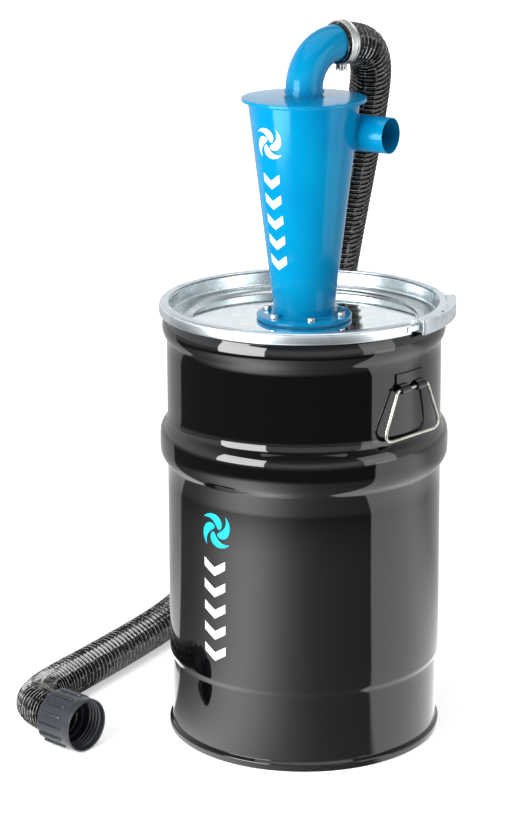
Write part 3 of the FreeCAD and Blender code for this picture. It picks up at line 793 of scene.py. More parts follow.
def settled(piece: bpy.types.Object) -> bpy.types.Object:
    """Turn a piece's modifiers into plain mesh and return it.

    Args:
        piece: the piece.

    Returns:
        The same piece.
    """
    shown = piece.evaluated_get(bpy.context.evaluated_depsgraph_get())
    mesh = bpy.data.meshes.new_from_object(shown)
    piece.modifiers.clear()
    piece.data = mesh
    return piece


def joined(name: str, pieces: Sequence[bpy.types.Object]) -> bpy.types.Object:
    """Join pieces into one mesh of that name.

    Args:
        name: the new piece's name.
        pieces: the pieces, which it uses up.

    Returns:
        The new piece.
    """
    work = bmesh.new()
    for piece in pieces:
        work.from_mesh(piece.data)
        bpy.data.objects.remove(piece)
    mesh = bpy.data.meshes.new(name)
    work.to_mesh(mesh)
    work.free()
    whole = bpy.data.objects.new(name, mesh)
    bpy.context.scene.collection.objects.link(whole)
    return whole


def thickened(piece: bpy.types.Object, wall: float) -> bpy.types.Object:
    """Give a sheet its thickness for good, outwards from where it is, and return it.

    Args:
        piece: the sheet.
        wall: its thickness in metres.

    Returns:
        The same piece.
    """
    modifier = piece.modifiers.new("sheet", "SOLIDIFY")
    modifier.thickness = wall
    modifier.offset = 1.0
    return settled(piece)


def block(name: str, low: Point, high: Point) -> bpy.types.Object:
    """Return a box between two corners, for its edges to be rounded.

    Args:
        name: the piece's name.
        low: its lowest corner in metres.
        high: its highest corner in metres.

    Returns:
        The new piece.
    """
    corners = [(x, y, z) for z in (low[2], high[2]) for y in (low[1], high[1])
               for x in (low[0], high[0])]
    faces = [(0, 2, 3, 1), (4, 5, 7, 6), (0, 1, 5, 4), (2, 6, 7, 3), (0, 4, 6, 2), (1, 3, 7, 5)]
    return new_piece(name, corners, faces)


def line_piece(name: str, points: Sequence[Point], closed: bool = True) -> bpy.types.Object:
    """Return a mesh line through points, joined up at its ends if it is closed.

    Args:
        name: the piece's name.
        points: the line's points in metres.
        closed: whether its ends are joined.

    Returns:
        The new piece.
    """
    mesh = bpy.data.meshes.new(name)
    count = len(points)
    edges = [(k, (k + 1) % count) for k in range(count if closed else count - 1)]
    mesh.from_pydata(points, edges, [])
    piece = bpy.data.objects.new(name, mesh)
    bpy.context.scene.collection.objects.link(piece)
    return piece


def placed(piece: bpy.types.Object, matrix: Matrix) -> bpy.types.Object:
    """Move a piece's mesh by a matrix and return the piece, still at the origin."""
    piece.data.transform(matrix)
    return piece


def facing(origin: Sequence[float], direction: Vector, up: Vector = Vector((0, 0, 1))) -> Matrix:
    """Return the place whose Z axis is the direction and whose Y axis is nearest to up.

    Args:
        origin: where the place is.
        direction: where its Z axis points.
        up: the direction that counts as up.

    Returns:
        The place as a matrix.
    """
    along = direction.normalized()
    across = up.cross(along).normalized()
    above = along.cross(across)
    turn = Matrix((across, above, along)).transposed().to_4x4()
    return Matrix.Translation(Vector(origin)) @ turn


def dressed(piece: bpy.types.Object, material: bpy.types.Material, body: Body, slot: Slot,
            *nodes: str) -> bpy.types.Object:
    """Give a piece its material and its body, and let it stand for CAD nodes.

    Args:
        piece: the piece.
        material: its finish.
        body: the body it rides on.
        slot: the record's material slot; not used.
        nodes: the CAD nodes it stands for.

    Returns:
        The same piece.
    """
    piece.data.materials.clear()
    piece.data.materials.append(material)
    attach(piece, body.value)
    if nodes:
        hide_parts(*nodes)
    LOG.info("%s on %s", piece.name, body.value)
    return piece


def repaint(frame: dict, nodes: Sequence[str], material: bpy.types.Material) -> None:
    """Give CAD nodes that stay in view a finish.

    Args:
        frame: the loaded frame.
        nodes: the CAD nodes' names.
        material: their finish.
    """
    for name in nodes:
        mesh = frame["nodes"][name].data
        mesh.materials.clear()
        mesh.materials.append(material)


# ------------------------------------------------------------------ geometry node trees


class GeometryTree(NodeMaker):
    """A Geometry Nodes tree with named inputs that ends in Realize Instances and Set Material."""

    def __init__(self, name: str, **inputs: float) -> None:
        """Start the tree.

        Args:
            name: the tree's name.
            inputs: its sizes, with _ for the spaces in their names.
        """
        super().__init__(bpy.data.node_groups.new(name, "GeometryNodeTree"))
        face = self.tree.interface
        face.new_socket("Geometry", in_out="INPUT", socket_type="NodeSocketGeometry")
        face.new_socket("Geometry", in_out="OUTPUT", socket_type="NodeSocketGeometry")
        self.sizes: dict[str, float] = {}
        for key, value in inputs.items():
            label = key.replace("_", " ")
            whole = isinstance(value, int)
            kind = "NodeSocketInt" if whole else "NodeSocketFloat"
            face.new_socket(label, in_out="INPUT", socket_type=kind)
            self.sizes[label] = value
        self.entry = self.node("NodeGroupInput")
        self.geometry = self.entry.outputs["Geometry"]

    def size(self, label: str) -> Expr:
        """Return one of the tree's named inputs."""
        return Expr(self, self.entry.outputs[label])

    def close(self, geometry: Feed, material: bpy.types.Material) -> None:
        """End the tree with Realize Instances and Set Material.

        Args:
            geometry: what the tree has made.
            material: its finish.
        """
        whole = self.node("GeometryNodeRealizeInstances", None, {"Geometry": geometry})
        painted = self.node("GeometryNodeSetMaterial", None,
                            {"Geometry": whole.outputs[0], "Material": material})
        self.node("NodeGroupOutput", None, {0: painted.outputs[0]})

    def grow(self, piece: bpy.types.Object) -> bpy.types.Object:
        """Run the tree on a piece, keep the result as plain mesh and return the piece.

        Args:
            piece: the piece that the tree runs on.

        Returns:
            The same piece.
        """
        modifier = piece.modifiers.new(self.tree.name, "NODES")
        modifier.node_group = self.tree
        for item in self.tree.interface.items_tree:
            if item.in_out == "INPUT" and item.name in self.sizes:
                modifier[item.identifier] = self.sizes[item.name]
        return settled(piece)


def ring_tree(name: str, count: int, radius: float, first: float,
              material: bpy.types.Material) -> GeometryTree:
    """Return a tree that repeats a piece in a ring about the Z axis.

    Args:
        name: the tree's name.
        count: number of copies.
        radius: distance of the copies from the axis in metres.
        first: angle of the first copy in degrees.
        material: the finish of the copies.

    Returns:
        The finished tree.
    """
    tree = GeometryTree(name, Count=count, Radius=radius, First_Angle=math.radians(first))
    circle = tree.node("GeometryNodeMeshCircle", None, {
        "Vertices": tree.size("Count"), "Radius": tree.size("Radius")})
    number = tree.value("GeometryNodeInputIndex")
    angle = number * math.tau / tree.size("Count")
    turn = tree.node("ShaderNodeCombineXYZ", None, {2: angle})
    copies = tree.node("GeometryNodeInstanceOnPoints", None, {
        "Points": circle.outputs[0], "Instance": tree.geometry, "Rotation": turn.outputs[0]})
    whole = tree.node("ShaderNodeCombineXYZ", None, {2: tree.size("First Angle")})
    spun = tree.node("GeometryNodeTransform", None, {
        "Geometry": copies.outputs[0], "Rotation": whole.outputs[0]})
    tree.close(spun.outputs[0], material)
    return tree


def bead_tree(name: str, size: float, material: bpy.types.Material) -> GeometryTree:
    """Return a tree that lays weld ripples along a line.

    Args:
        name: the tree's name.
        size: half the bead's width in metres.
        material: the finish of the bead.

    Returns:
        The finished tree.
    """
    tree = GeometryTree(name, Bead_Size=size, Ripple_Pitch=size * 0.85)
    line = tree.node("GeometryNodeMeshToCurve", None, {"Mesh": tree.geometry}).outputs[0]
    even = tree.node("GeometryNodeResampleCurve", {"mode": "LENGTH"},
                     {"Curve": line, "Length": tree.size("Ripple Pitch")})
    ripple = tree.node("GeometryNodeMeshIcoSphere", None,
                       {"Radius": tree.size("Bead Size"), "Subdivisions": 2})
    jitter = tree.node("FunctionNodeRandomValue", {"data_type": "FLOAT"},
                       {"Min": 0.86, "Max": 1.08, "Seed": 7})
    copies = tree.node("GeometryNodeInstanceOnPoints", None, {
        "Points": even.outputs[0], "Instance": ripple.outputs[0],
        "Scale": jitter.outputs["Value"]})
    tree.close(copies.outputs[0], material)
    return tree


# ------------------------------------------------------------------ stage


@dataclass
class Stage:
    """Floor, studio light and camera."""

    camera_place: Point = (0.0, -3.346, 1.4096)
    tilt: float = 0.2117
    lens: float = 108.98
    shift: tuple[float, float] = (-0.0549, -0.2)
    floor_lift: float = 0.5
    floor_far_lift: float = 0.6
    floor_base: float = 0.07
    pool_azimuth: float = -45.0
    pool_spread: float = 20.5
    pool_level: float = 2.8
    spill_azimuth: float = -20.0
    spill_spread: float = 75.0
    spill_level: float = 0.42
    pool_end: tuple[float, float] = (1.0, 1.5)
    far_band: tuple[float, float] = (2.2, 3.4)
    far_level: float = 0.35
    open_edge: tuple[float, float] = (0.092, -0.167)
    open_normal: tuple[float, float] = (0.537, 0.843)
    open_level: float = 1.75
    open_fade: tuple[float, float] = (0.0, 0.6)
    lift_band: tuple[float, float] = (0.5, 2.2)
    ambient: float = 0.16
    ambient_rise: float = 0.3
    horizon_level: float = 1.05
    zenith_fall: float = 0.75
    front_shade: float = 0.6
    backdrop_level: float = 1.15

    def build(self) -> None:
        """Make the camera, the floor and the lights."""
        bpy.context.scene.view_settings.view_transform = "Standard"
        self.make_camera()
        self.make_floor()
        self.make_world()
        self.make_lights()

    def make_camera(self) -> None:
        """Place the camera in front of the drum, a little above its top."""
        data = bpy.data.cameras.new("camera")
        camera = bpy.data.objects.new("camera", data)
        bpy.context.scene.collection.objects.link(camera)
        camera.location = self.camera_place
        camera.rotation_euler = (math.pi / 2 - self.tilt, 0.0, 0.0)
        data.lens = self.lens
        data.shift_x, data.shift_y = self.shift
        bpy.context.scene.camera = camera

    def make_floor(self) -> None:
        """Lay a wide pale floor that gloss surfaces see as a lit studio floor."""
        reach = 12.0
        floor = new_piece("floor", [(-reach, -reach, 0), (reach, -reach, 0),
                                    (reach, reach, 0), (-reach, reach, 0)], [(0, 1, 2, 3)])
        make = MaterialMaker("floor_white")
        tone = make.noise(1.5, 2)
        path = make.node("ShaderNodeLightPath")
        seen = Expr(make, path.outputs["Is Camera Ray"])
        make.dress(Base_Color=make.mix(tone, rgb(245, 245, 246), rgb(250, 250, 250)),
                   Roughness=0.9, Specular_IOR_Level=0.0, Emission_Color=(1.0, 1.0, 1.0, 1.0),
                   Emission_Strength=seen * self.floor_lift_over(make))
        mirrored = path.outputs["Is Glossy Ray"]
        lit = make.node("ShaderNodeEmission", None, {"Strength": self.floor_glow(make)})
        both = make.node("ShaderNodeMixShader", None,
                         {0: mirrored, 1: make.shader.outputs[0], 2: lit.outputs[0]})
        make.tree.links.new(both.outputs[0], make.output.inputs[0])
        floor.data.materials.append(make.material)

    def floor_lift_over(self, make: MaterialMaker) -> Expr:
        """Return the floor's own light, which grows away from the object to keep it white.

        Args:
            make: the floor material's maker.

        Returns:
            The strength of the light at each place.
        """
        across, along, _ = make.split(make.place)
        reach = (across * across + along * along).math("SQRT")
        return reach.ramp(*self.lift_band) * self.floor_far_lift + self.floor_lift

    def floor_glow(self, make: MaterialMaker) -> Expr:
        """Return how bright each place of the studio floor is in a reflection.

        Args:
            make: the floor material's maker.

        Returns:
            The brightness: a pool at the front left and an open side on the right.
        """
        across, along, _ = make.split(make.place)
        angle = across.math("ARCTAN2", along * -1)
        reach = (across * across + along * along).math("SQRT")
        off = (angle - math.radians(self.pool_azimuth)) / math.radians(self.pool_spread)
        wide = (angle - math.radians(self.spill_azimuth)) / math.radians(self.spill_spread)
        pool = ((off * off * -0.5).math("EXPONENT") * self.pool_level
                + (wide * wide * -0.5).math("EXPONENT") * self.spill_level)
        pool = pool * (1 - reach.ramp(*self.pool_end))
        edge_x, edge_y = self.open_edge
        beyond = (across - edge_x) * self.open_normal[0] + (along - edge_y) * self.open_normal[1]
        side = beyond.ramp(0.0, 0.02) * (1 - along.ramp(*self.open_fade) * 0.6) * self.open_level
        far = reach.ramp(*self.far_band) * self.far_level
        return (side + pool).math("MAXIMUM", far + self.floor_base)

    def make_world(self) -> None:
        """Surround the stage with a white backdrop and a soft studio."""
        world = bpy.data.worlds.new("studio")
        bpy.context.scene.world = world
        world.use_nodes = True
        make = NodeMaker(world.node_tree)
        make.tree.nodes.clear()
        direction = make.node("ShaderNodeTexCoord").outputs["Generated"]
        _, along, up = make.split(direction)
        shaded = (along * -1).ramp(0.0, 0.5) * up.ramp(0.2, 0.45)
        path = make.node("ShaderNodeLightPath")
        seen = path.outputs["Is Camera Ray"]
        mirrored = Expr(make, path.outputs["Is Glossy Ray"])
        level = self.ambient + up.ramp(-0.1, 0.9) * self.ambient_rise
        studio = ((self.horizon_level - up.ramp(0.28, 0.8) * self.zenith_fall)
                  * (1 - shaded * self.front_shade))
        level = level + mirrored * (studio - level)
        soft = make.node("ShaderNodeBackground", None,
                         {"Color": (0.96, 0.98, 1.0, 1.0), "Strength": level})
        white = make.node("ShaderNodeBackground", None,
                          {"Color": (1.0, 1.0, 1.0, 1.0), "Strength": self.backdrop_level})
        both = make.node("ShaderNodeMixShader", None,
                         {0: seen, 1: soft.outputs[0], 2: white.outputs[0]})
        make.node("ShaderNodeOutputWorld", None, {0: both.outputs[0]})

    def make_lights(self) -> None:
        """Hang the soft boxes: a key on the left, a dim card on the right and a top bank."""
        self.soft_box("left_key", place=(-0.86, -0.80, 0.74), target=(0.0, -0.1, 0.74),
                      size=(0.80, 0.72), power=22)
        self.soft_box("right_card", place=(1.5, -0.9, 0.9), target=(0.0, 0.0, 0.6),
                      size=(0.9, 1.4), power=8)
        self.soft_box("top_bank", place=(0.0, -0.2, 2.6), target=(0.0, 0.0, 0.5),
                      size=(2.4, 2.4), power=26)

    @staticmethod
    def soft_box(name: str, place: Point, target: Point, size: tuple[float, float],
                 power: float) -> None:
        """Hang one rectangular light.

        Args:
            name: the light's name.
            place: where its middle is.
            target: the point it faces.
            size: its width and height in metres.
            power: its power in watts.
        """
        data = bpy.data.lights.new(name, "AREA")
        data.shape = "RECTANGLE"
        data.size, data.size_y = size
        data.energy = power
        lamp = bpy.data.objects.new(name, data)
        bpy.context.scene.collection.objects.link(lamp)
        aim = Vector(target) - Vector(place)
        lamp.location = place
        lamp.rotation_euler = aim.to_track_quat("-Z", "Y").to_euler()
        lamp.visible_camera = False


# ------------------------------------------------------------------ hose


HOSE_ROUTE: list[Point] = [
    (0.0424, 0.0381, 0.967), (0.078, 0.0702, 0.967), (0.095, 0.097, 0.935),
    (0.091, 0.122, 0.878), (0.077, 0.164, 0.785), (0.062, 0.206, 0.688),
    (0.047, 0.244, 0.588), (0.038, 0.276, 0.500), (0.027, 0.326, 0.415),
    (0.007, 0.382, 0.334), (-0.021, 0.434, 0.254), (-0.056, 0.470, 0.172),
    (-0.102, 0.480, 0.100), (-0.150, 0.450, 0.050), (-0.186, 0.386, 0.029),
    (-0.218, 0.303, 0.029), (-0.264, 0.216, 0.029), (-0.312, 0.131, 0.029),
    (-0.354, 0.060, 0.030), (-0.379, 0.004, 0.032), (-0.381, -0.056, 0.039),
    (-0.334, -0.096, 0.039),
]


@dataclass
class Hose:
    """Spiral suction hose from the outlet elbow to the coupling."""

    crest_radius: float = 0.029
    valley_radius: float = 0.0246
    bore_radius: float = 0.0238
    turns: int = 205
    rings_a_turn: int = 8
    sides: int = 48
    length: float = 1.7377
    lead_pitch: float = 0.82
    middle_gain: float = 0.31
    tail_power: float = 7.0
    crest_sharpness: float = 5.5
    ring_crowding: float = 0.8
    sleeve_gain: float = 0.0018
    sleeve_share: float = 0.013
    bore_sides: int = 24
    end_reach: float = 0.0435
    path: np.ndarray = field(default_factory=lambda: np.zeros((0, 3)))

    def route_line(self) -> bpy.types.Object:
        """Return the middle line as a plain mesh line, read from its smooth spline.

        Returns:
            A piece with the line as its mesh, for the wall to follow.
        """
        curve = bpy.data.curves.new("hose_route", "CURVE")
        curve.dimensions = "3D"
        curve.resolution_u = 24
        spline = curve.splines.new("NURBS")
        spline.points.add(len(HOSE_ROUTE) - 1)
        for point, place in zip(spline.points, HOSE_ROUTE):
            point.co = (*place, 1.0)
        spline.order_u = 3
        spline.use_endpoint_u = True
        holder = bpy.data.objects.new("hose_route", curve)
        bpy.context.scene.collection.objects.link(holder)
        shown = holder.evaluated_get(bpy.context.evaluated_depsgraph_get())
        line = bpy.data.meshes.new_from_object(shown)
        bpy.data.objects.remove(holder)
        piece = bpy.data.objects.new("spiral_hose", line)
        bpy.context.scene.collection.objects.link(piece)
        return piece

    def wall_tree(self, material: bpy.types.Material) -> GeometryTree:
        """Return the tree that winds the ribbed wall round a line.

        A grid is sheared so that its columns follow the spiral: a column keeps its place on the
        rib's profile, and one turn of it moves one pitch along the hose.

        Args:
            material: the film's finish.

        Returns:
            The finished tree.
        """
        tree = GeometryTree("spiral_wall", Crest_Radius=self.crest_radius,
                            Valley_Radius=self.valley_radius, Turns=float(self.turns),
                            Sides=self.sides, Rings=self.rings_a_turn * (self.turns + 1) + 1)
        line = tree.node("GeometryNodeMeshToCurve", None, {"Mesh": tree.geometry}).outputs[0]
        length = tree.value("GeometryNodeCurveLength", None, {"Curve": line})
        grid = tree.node("GeometryNodeMeshGrid", None, {
            "Size X": 1.0, "Size Y": 1.0, "Vertices X": tree.size("Rings"),
            "Vertices Y": tree.size("Sides") + 1})
        place = tree.node("GeometryNodeInputPosition").outputs[0]
        along, across, _ = tree.split(place)
        turns = tree.size("Turns")
        step = (along + 0.5) * (turns + 1)
        around = across + 0.5
        whole = (step + 1e-4).floor()
        part = step - whole
        crowded = part - (part * math.tau).sin() * (self.ring_crowding / math.tau)
        turn = (whole + crowded + around - 1).clamp(0, turns)
        crest = (((turn - around) * math.tau).cos() * 0.5 + 0.5) ** self.crest_sharpness
        share = turn / turns
        on_spigot = 1 - share.ramp(self.sleeve_share, self.sleeve_share * 2)
        valley = tree.size("Valley Radius") + on_spigot * self.sleeve_gain
        radius = valley + crest * (tree.size("Crest Radius") - valley)
        squeeze = self.lead_pitch + self.middle_gain - 1
        reach = (share * self.lead_pitch + share * share * self.middle_gain
                 - (share ** self.tail_power) * squeeze) * length
        sample = tree.node("GeometryNodeSampleCurve", {"mode": "LENGTH"},
                           {"Curves": line, "Length": reach})
        middle, tangent = sample.outputs["Position"], sample.outputs["Tangent"]
        normal = sample.outputs["Normal"]
        side = tree.vector("CROSS_PRODUCT", tangent, normal)
        angle = around * math.tau
        offset = tree.vector("ADD", tree.scaled(normal, angle.cos() * radius),
                             tree.scaled(side, angle.sin() * radius))
        marked = grid.outputs[0]
        for label, value in (("crest", crest), ("around", around)):
            marked = tree.node("GeometryNodeStoreNamedAttribute", {"data_type": "FLOAT"}, {
                "Geometry": marked, "Name": label, "Value": value}).outputs[0]
        wound = tree.node("GeometryNodeSetPosition", None, {
            "Geometry": marked, "Position": tree.vector("ADD", middle, offset)})
        merged = tree.node("GeometryNodeMergeByDistance", None,
                           {"Geometry": wound.outputs[0], "Distance": 2e-5})
        tree.close(merged.outputs[0], material)
        return tree

    def bore(self, path: np.ndarray) -> tuple[list, list]:
        """Return the points and faces of the smooth inner wall, along every second path point.

        Args:
            path: the points of the middle line.

        Returns:
            The points and the faces.
        """
        points = [Vector(p) for p in path]
        kept = points[::2] + ([points[-1]] if len(points) % 2 == 0 else [])
        stations = [(here, along, self.bore_radius) for here, along in zip(kept, headings(kept))]
        return (tube_points(stations, self.bore_sides),
                grid_faces(len(kept), self.bore_sides, closed=True))

    def build(self, finishes: Finishes) -> bpy.types.Object:
        """Wind the hose and return it.

        Args:
            finishes: the object's finishes.

        Returns:
            The new piece.
        """
        piece = self.route_line()
        path = np.empty(len(piece.data.vertices) * 3)
        piece.data.vertices.foreach_get("co", path)
        path = path.reshape(-1, 3)
        self.wall_tree(finishes.hose).grow(piece)
        piece.name = "spiral_hose"
        mesh = piece.data
        work = bmesh.new()
        work.from_mesh(mesh)
        rings, faces = self.bore(path)
        inner = [work.verts.new(p) for p in rings]
        for face in faces:
            work.faces.new([inner[number] for number in face])
        work.normal_update()
        edges = [edge for edge in work.edges if edge.is_boundary]
        for end in (path[0], path[-1]):
            middle = Vector(end)
            near = [edge for edge in edges
                    if (edge.verts[0].co - middle).length < self.end_reach]
            bmesh.ops.bridge_loops(work, edges=near)
        bmesh.ops.recalc_face_normals(work, faces=work.faces)
        work.to_mesh(mesh)
        work.free()
        mesh.shade_smooth()
        dressed(piece, finishes.hose, Body.DRUM, Slot.HOSE, "hose")
        self.path = path
        return piece


# ------------------------------------------------------------------ drum


def smoothstep(value: float, low: float, high: float) -> float:
    """Return 0 below low, 1 above high and a smooth rise between them."""
    share = min(max((value - low) / (high - low), 0.0), 1.0)
    return share * share * (3 - 2 * share)


@dataclass
class Drum:
    """Open-head steel drum: rolled chime, stepped foot, one hoop and a neck bead."""

    top: float = 0.6085
    wall: float = 0.0012
    foot_radius: float = 0.187
    body_radius: float = 0.1905
    mouth_radius: float = 0.192
    chime_radius: float = 0.192
    chime_height: float = 0.009
    chime_inside: float = 0.1875
    step_low: float = 0.104
    step_high: float = 0.116
    hoop_middle: float = 0.4200
    hoop_half: float = 0.0330
    hoop_rise: float = 0.0104
    hoop_flatness: float = 4.0
    neck_low: float = 0.563
    neck_high: float = 0.600
    neck_rise: float = 0.0062
    chime_neck: float = 0.0128
    wall_start: float = 0.0145
    curl_low: float = 0.6025
    curl_inner: float = 0.1908
    curl_under: float = 0.1935
    curl_outer: float = 0.1965
    seam_half: float = 0.003
    seam_rise: float = 0.0005
    seam_sink: float = 0.0002
    seam_wall: float = 0.0004
    seam_angle: float = 90.0
    seam_columns: int = 7

    def radius(self, height: float) -> float:
        """Return the outside radius of the wall at a height above the chime.

        Args:
            height: the height above the floor in metres.

        Returns:
            The radius in metres.
        """
        radius = self.foot_radius
        radius += (self.body_radius - self.foot_radius) * smoothstep(
            height, self.step_low, self.step_high)
        lift = 1 - abs((height - self.hoop_middle) / self.hoop_half) ** self.hoop_flatness
        if lift > 0:
            radius += self.hoop_rise * lift ** 1.6
        neck_middle = (self.neck_low + self.neck_high) / 2
        radius += (self.mouth_radius - self.body_radius) * smoothstep(
            height, neck_middle, self.neck_high)
        lift = 1 - ((height - neck_middle) / (self.neck_high - neck_middle)) ** 2
        if lift > 0:
            radius += self.neck_rise * lift ** 1.3
        return radius

    def heights(self) -> list[float]:
        """Return the heights of the wall's rings, closer together where it curves.

        Returns:
            The heights in metres, from the chime to the curl.
        """
        hoop_low, hoop_high = self.hoop_middle - self.hoop_half, self.hoop_middle + self.hoop_half
        stops = [(self.wall_start, self.step_low, 8), (self.step_low, self.step_high, 8),
                 (self.step_high, hoop_low, 10), (hoop_low, hoop_high, 30),
                 (hoop_high, self.neck_low, 8), (self.neck_low, self.neck_high, 16)]
        found = []
        for low, high, count in stops:
            found += [low + (high - low) * step / count for step in range(count)]
        return found + [self.neck_high, self.curl_low]

    def outline(self) -> Outline:
        """Return the closed outline of the shell: up the outside and down the inside.

        Returns:
            The points of the outline.
        """
        heights = self.heights()
        chime = rounded([(self.chime_inside, 0.0, 0.0012), (self.chime_radius, 0.0, 0.0032),
                         (self.chime_radius, self.chime_height, 0.0034),
                         (self.foot_radius, self.chime_neck, 0.002), (self.foot_radius, 0.02),
                         (self.chime_inside, 0.02)], 5)
        outside = [point for point in chime if point[1] < self.wall_start]
        outside += [(self.radius(h), h) for h in heights]
        curl = rounded([(self.curl_under, self.curl_low, 0.0012),
                        (self.curl_outer, self.curl_low, 0.0015),
                        (self.curl_outer, self.top, 0.0028), (self.curl_inner, self.top, 0.0024),
                        (self.curl_inner, self.curl_low)], 4)[:-1]
        inside = [(self.radius(h) - self.wall, h) for h in reversed(heights)]
        return outside + curl + inside + [(self.foot_radius - self.wall, self.chime_neck)]

    def seam(self) -> bpy.types.Object:
        """Return the ground weld seam that runs up the back of the wall.

        Returns:
            The new piece.
        """
        heights = self.heights()
        vertices = []
        for height in heights:
            for column in range(self.seam_columns):
                share = column / (self.seam_columns - 1) * 2 - 1
                lift = self.seam_rise * (1 - share * share) - self.seam_sink
                radius = self.radius(height) + lift
                angle = math.radians(self.seam_angle) + share * self.seam_half / radius
                vertices.append(polar_point(radius, angle, height))
        piece = new_piece("wall_seam", vertices, grid_faces(len(heights), self.seam_columns))
        return thickened(piece, self.seam_wall)

    def build(self, finishes: Finishes) -> None:
        """Turn the wall and lay its seam.

        Args:
            finishes: the object's finishes.
        """
        wall = turned("drum_wall", self.outline(), 256, smooth=40)
        dressed(wall, finishes.drum, Body.DRUM, Slot.DRUM, "drum_shell")
        dressed(self.seam(), finishes.drum, Body.DRUM, Slot.DRUM)


# ------------------------------------------------------------------ handles


@dataclass
class Bail:
    """Wire bail that hangs in the two rolled loops of its bracket."""

    name: str
    node: str
    body: Body
    heading: float
    reach: float = 0.1959
    height: float = 0.526
    wire: float = 0.0022
    split: float = 0.0005
    top_half: float = 0.031
    low_half: float = 0.0605
    drop: float = 0.067
    top_bend: float = 0.007
    low_bend: float = 0.0135
    bend_steps: int = 10
    sides: int = 16

    def line(self) -> Outline:
        """Return the bent wire's middle line, across and down.

        Returns:
            The points of the line.
        """
        return rounded([
            (self.split, 0.0), (self.top_half, 0.0, self.top_bend),
            (self.low_half, self.drop, self.low_bend), (-self.low_half, self.drop, self.low_bend),
            (-self.top_half, 0.0, self.top_bend), (-self.split, 0.0)], self.bend_steps)

    def build(self, finishes: Finishes) -> None:
        """Bend the wire and hang it.

        Args:
            finishes: the object's finishes.
        """
        turn = Matrix.Rotation(math.radians(self.heading), 4, "Z")
        points = [turn @ Vector((self.reach, across, self.height - down))
                  for across, down in self.line()]
        wire = swept(self.name, points, self.wire, self.sides)
        dressed(wire, finishes.wire, self.body, Slot.WIRE, self.node)


def swept(name: str, points: Sequence[Vector], radius: float, sides: int) -> bpy.types.Object:
    """Sweep a round section along a line, with domed ends.

    Args:
        name: the piece's name.
        points: the line's points.
        radius: the section's radius in metres.
        sides: number of faces round the section.

    Returns:
        The new piece.
    """
    stations = [(here, along, radius) for here, along in zip(points, headings(points))]
    dome, tip = radius * 0.12, radius * 0.75
    (start, first, _), (end, last, _) = stations[0], stations[-1]
    stations = [(start - first * dome, first, tip), *stations, (end + last * dome, last, tip)]
    rows = len(stations)
    vertices = tube_points(stations, sides)
    faces = grid_faces(rows, sides, closed=True)
    faces += [tuple(range(sides)), tuple(range((rows - 1) * sides, rows * sides))]
    return new_piece(name, vertices, faces, 50)


# ------------------------------------------------------------------ lid and ring


@dataclass
class Lid:
    """Pressed lid with a deep well, a raised rim and a sunken mirror panel."""

    wall: float = 0.0012
    skirt: float = 0.1984
    skirt_low: float = 0.6035
    rim: float = 0.6137
    well: float = 0.1873
    land: float = 0.5927
    panel_edge: float = 0.1570
    panel: float = 0.5900
    opening: float = 0.036
    bead_rise: float = 0.0014
    bead_outer: float = 0.0125
    bead_crest: tuple[float, float] = (0.0105, 0.0055)
    bead_inner: float = 0.0015
    panel_fall: float = 0.001

    def outline(self) -> Outline:
        """Return the closed outline of the pressed sheet.

        Returns:
            The points of the outline.
        """
        wall, edge = self.wall, self.panel_edge
        low_land, low_panel, low_rim = self.land - wall, self.panel - wall, self.rim - wall
        crest = self.land + self.bead_rise
        return rounded([
            (self.skirt, self.skirt_low), (self.skirt, self.rim, 0.0026),
            (self.well, self.rim, 0.003), (self.well, self.land, 0.0045),
            (edge + self.bead_outer, self.land, 0.002), (edge + self.bead_crest[0], crest, 0.002),
            (edge + self.bead_crest[1], crest, 0.002),
            (edge + self.bead_inner, self.land - 0.0003, 0.001),
            (edge - self.panel_fall, self.panel, 0.0022), (self.opening, self.panel),
            (self.opening, low_panel), (edge - self.panel_fall, low_panel, 0.002),
            (edge + 0.0035, low_land + 0.0004, 0.002), (self.well + wall, low_land, 0.0055),
            (self.well + wall, low_rim, 0.0018), (self.skirt - wall, low_rim, 0.0014),
            (self.skirt - wall, self.skirt_low)], 6)

    def build(self, finishes: Finishes) -> None:
        """Press the lid."""
        lid = turned("pressed_lid", self.outline(), 256, smooth=40)
        dressed(lid, finishes.lid, Body.DRUM, Slot.LID, "lid")


@dataclass
class ClosingRing:
    """Rolled lever-lock ring, split where the lever closes it."""

    inner: float = 0.199
    wall: float = 0.0018
    top: float = 0.616
    inner_edge: float = 0.1876
    lip_low: float = 0.6004
    lip_edge: float = 0.1945
    first: float = -40.3
    sweep: float = 355.6

    def outline(self) -> Outline:
        """Return the closed outline of the rolled channel.

        Returns:
            The points of the outline.
        """
        outer = self.inner + self.wall
        lip_high, under = self.lip_low + self.wall, self.top - self.wall
        return rounded([
            (self.inner_edge, under, 0.0007), (self.inner_edge, self.top, 0.0009),
            (outer, self.top, 0.0046), (outer, self.lip_low, 0.0026),
            (self.lip_edge, self.lip_low, 0.0007), (self.lip_edge, lip_high, 0.0007),
            (self.inner, lip_high, 0.001), (self.inner, under, 0.003)], 6)

    def build(self, finishes: Finishes) -> None:
        """Roll the ring."""
        ring = turned("rolled_ring", self.outline(), 240, self.first, self.sweep, 40)
        dressed(ring, finishes.ring, Body.DRUM, Slot.RING, "closing_ring")


# ------------------------------------------------------------------ cyclone


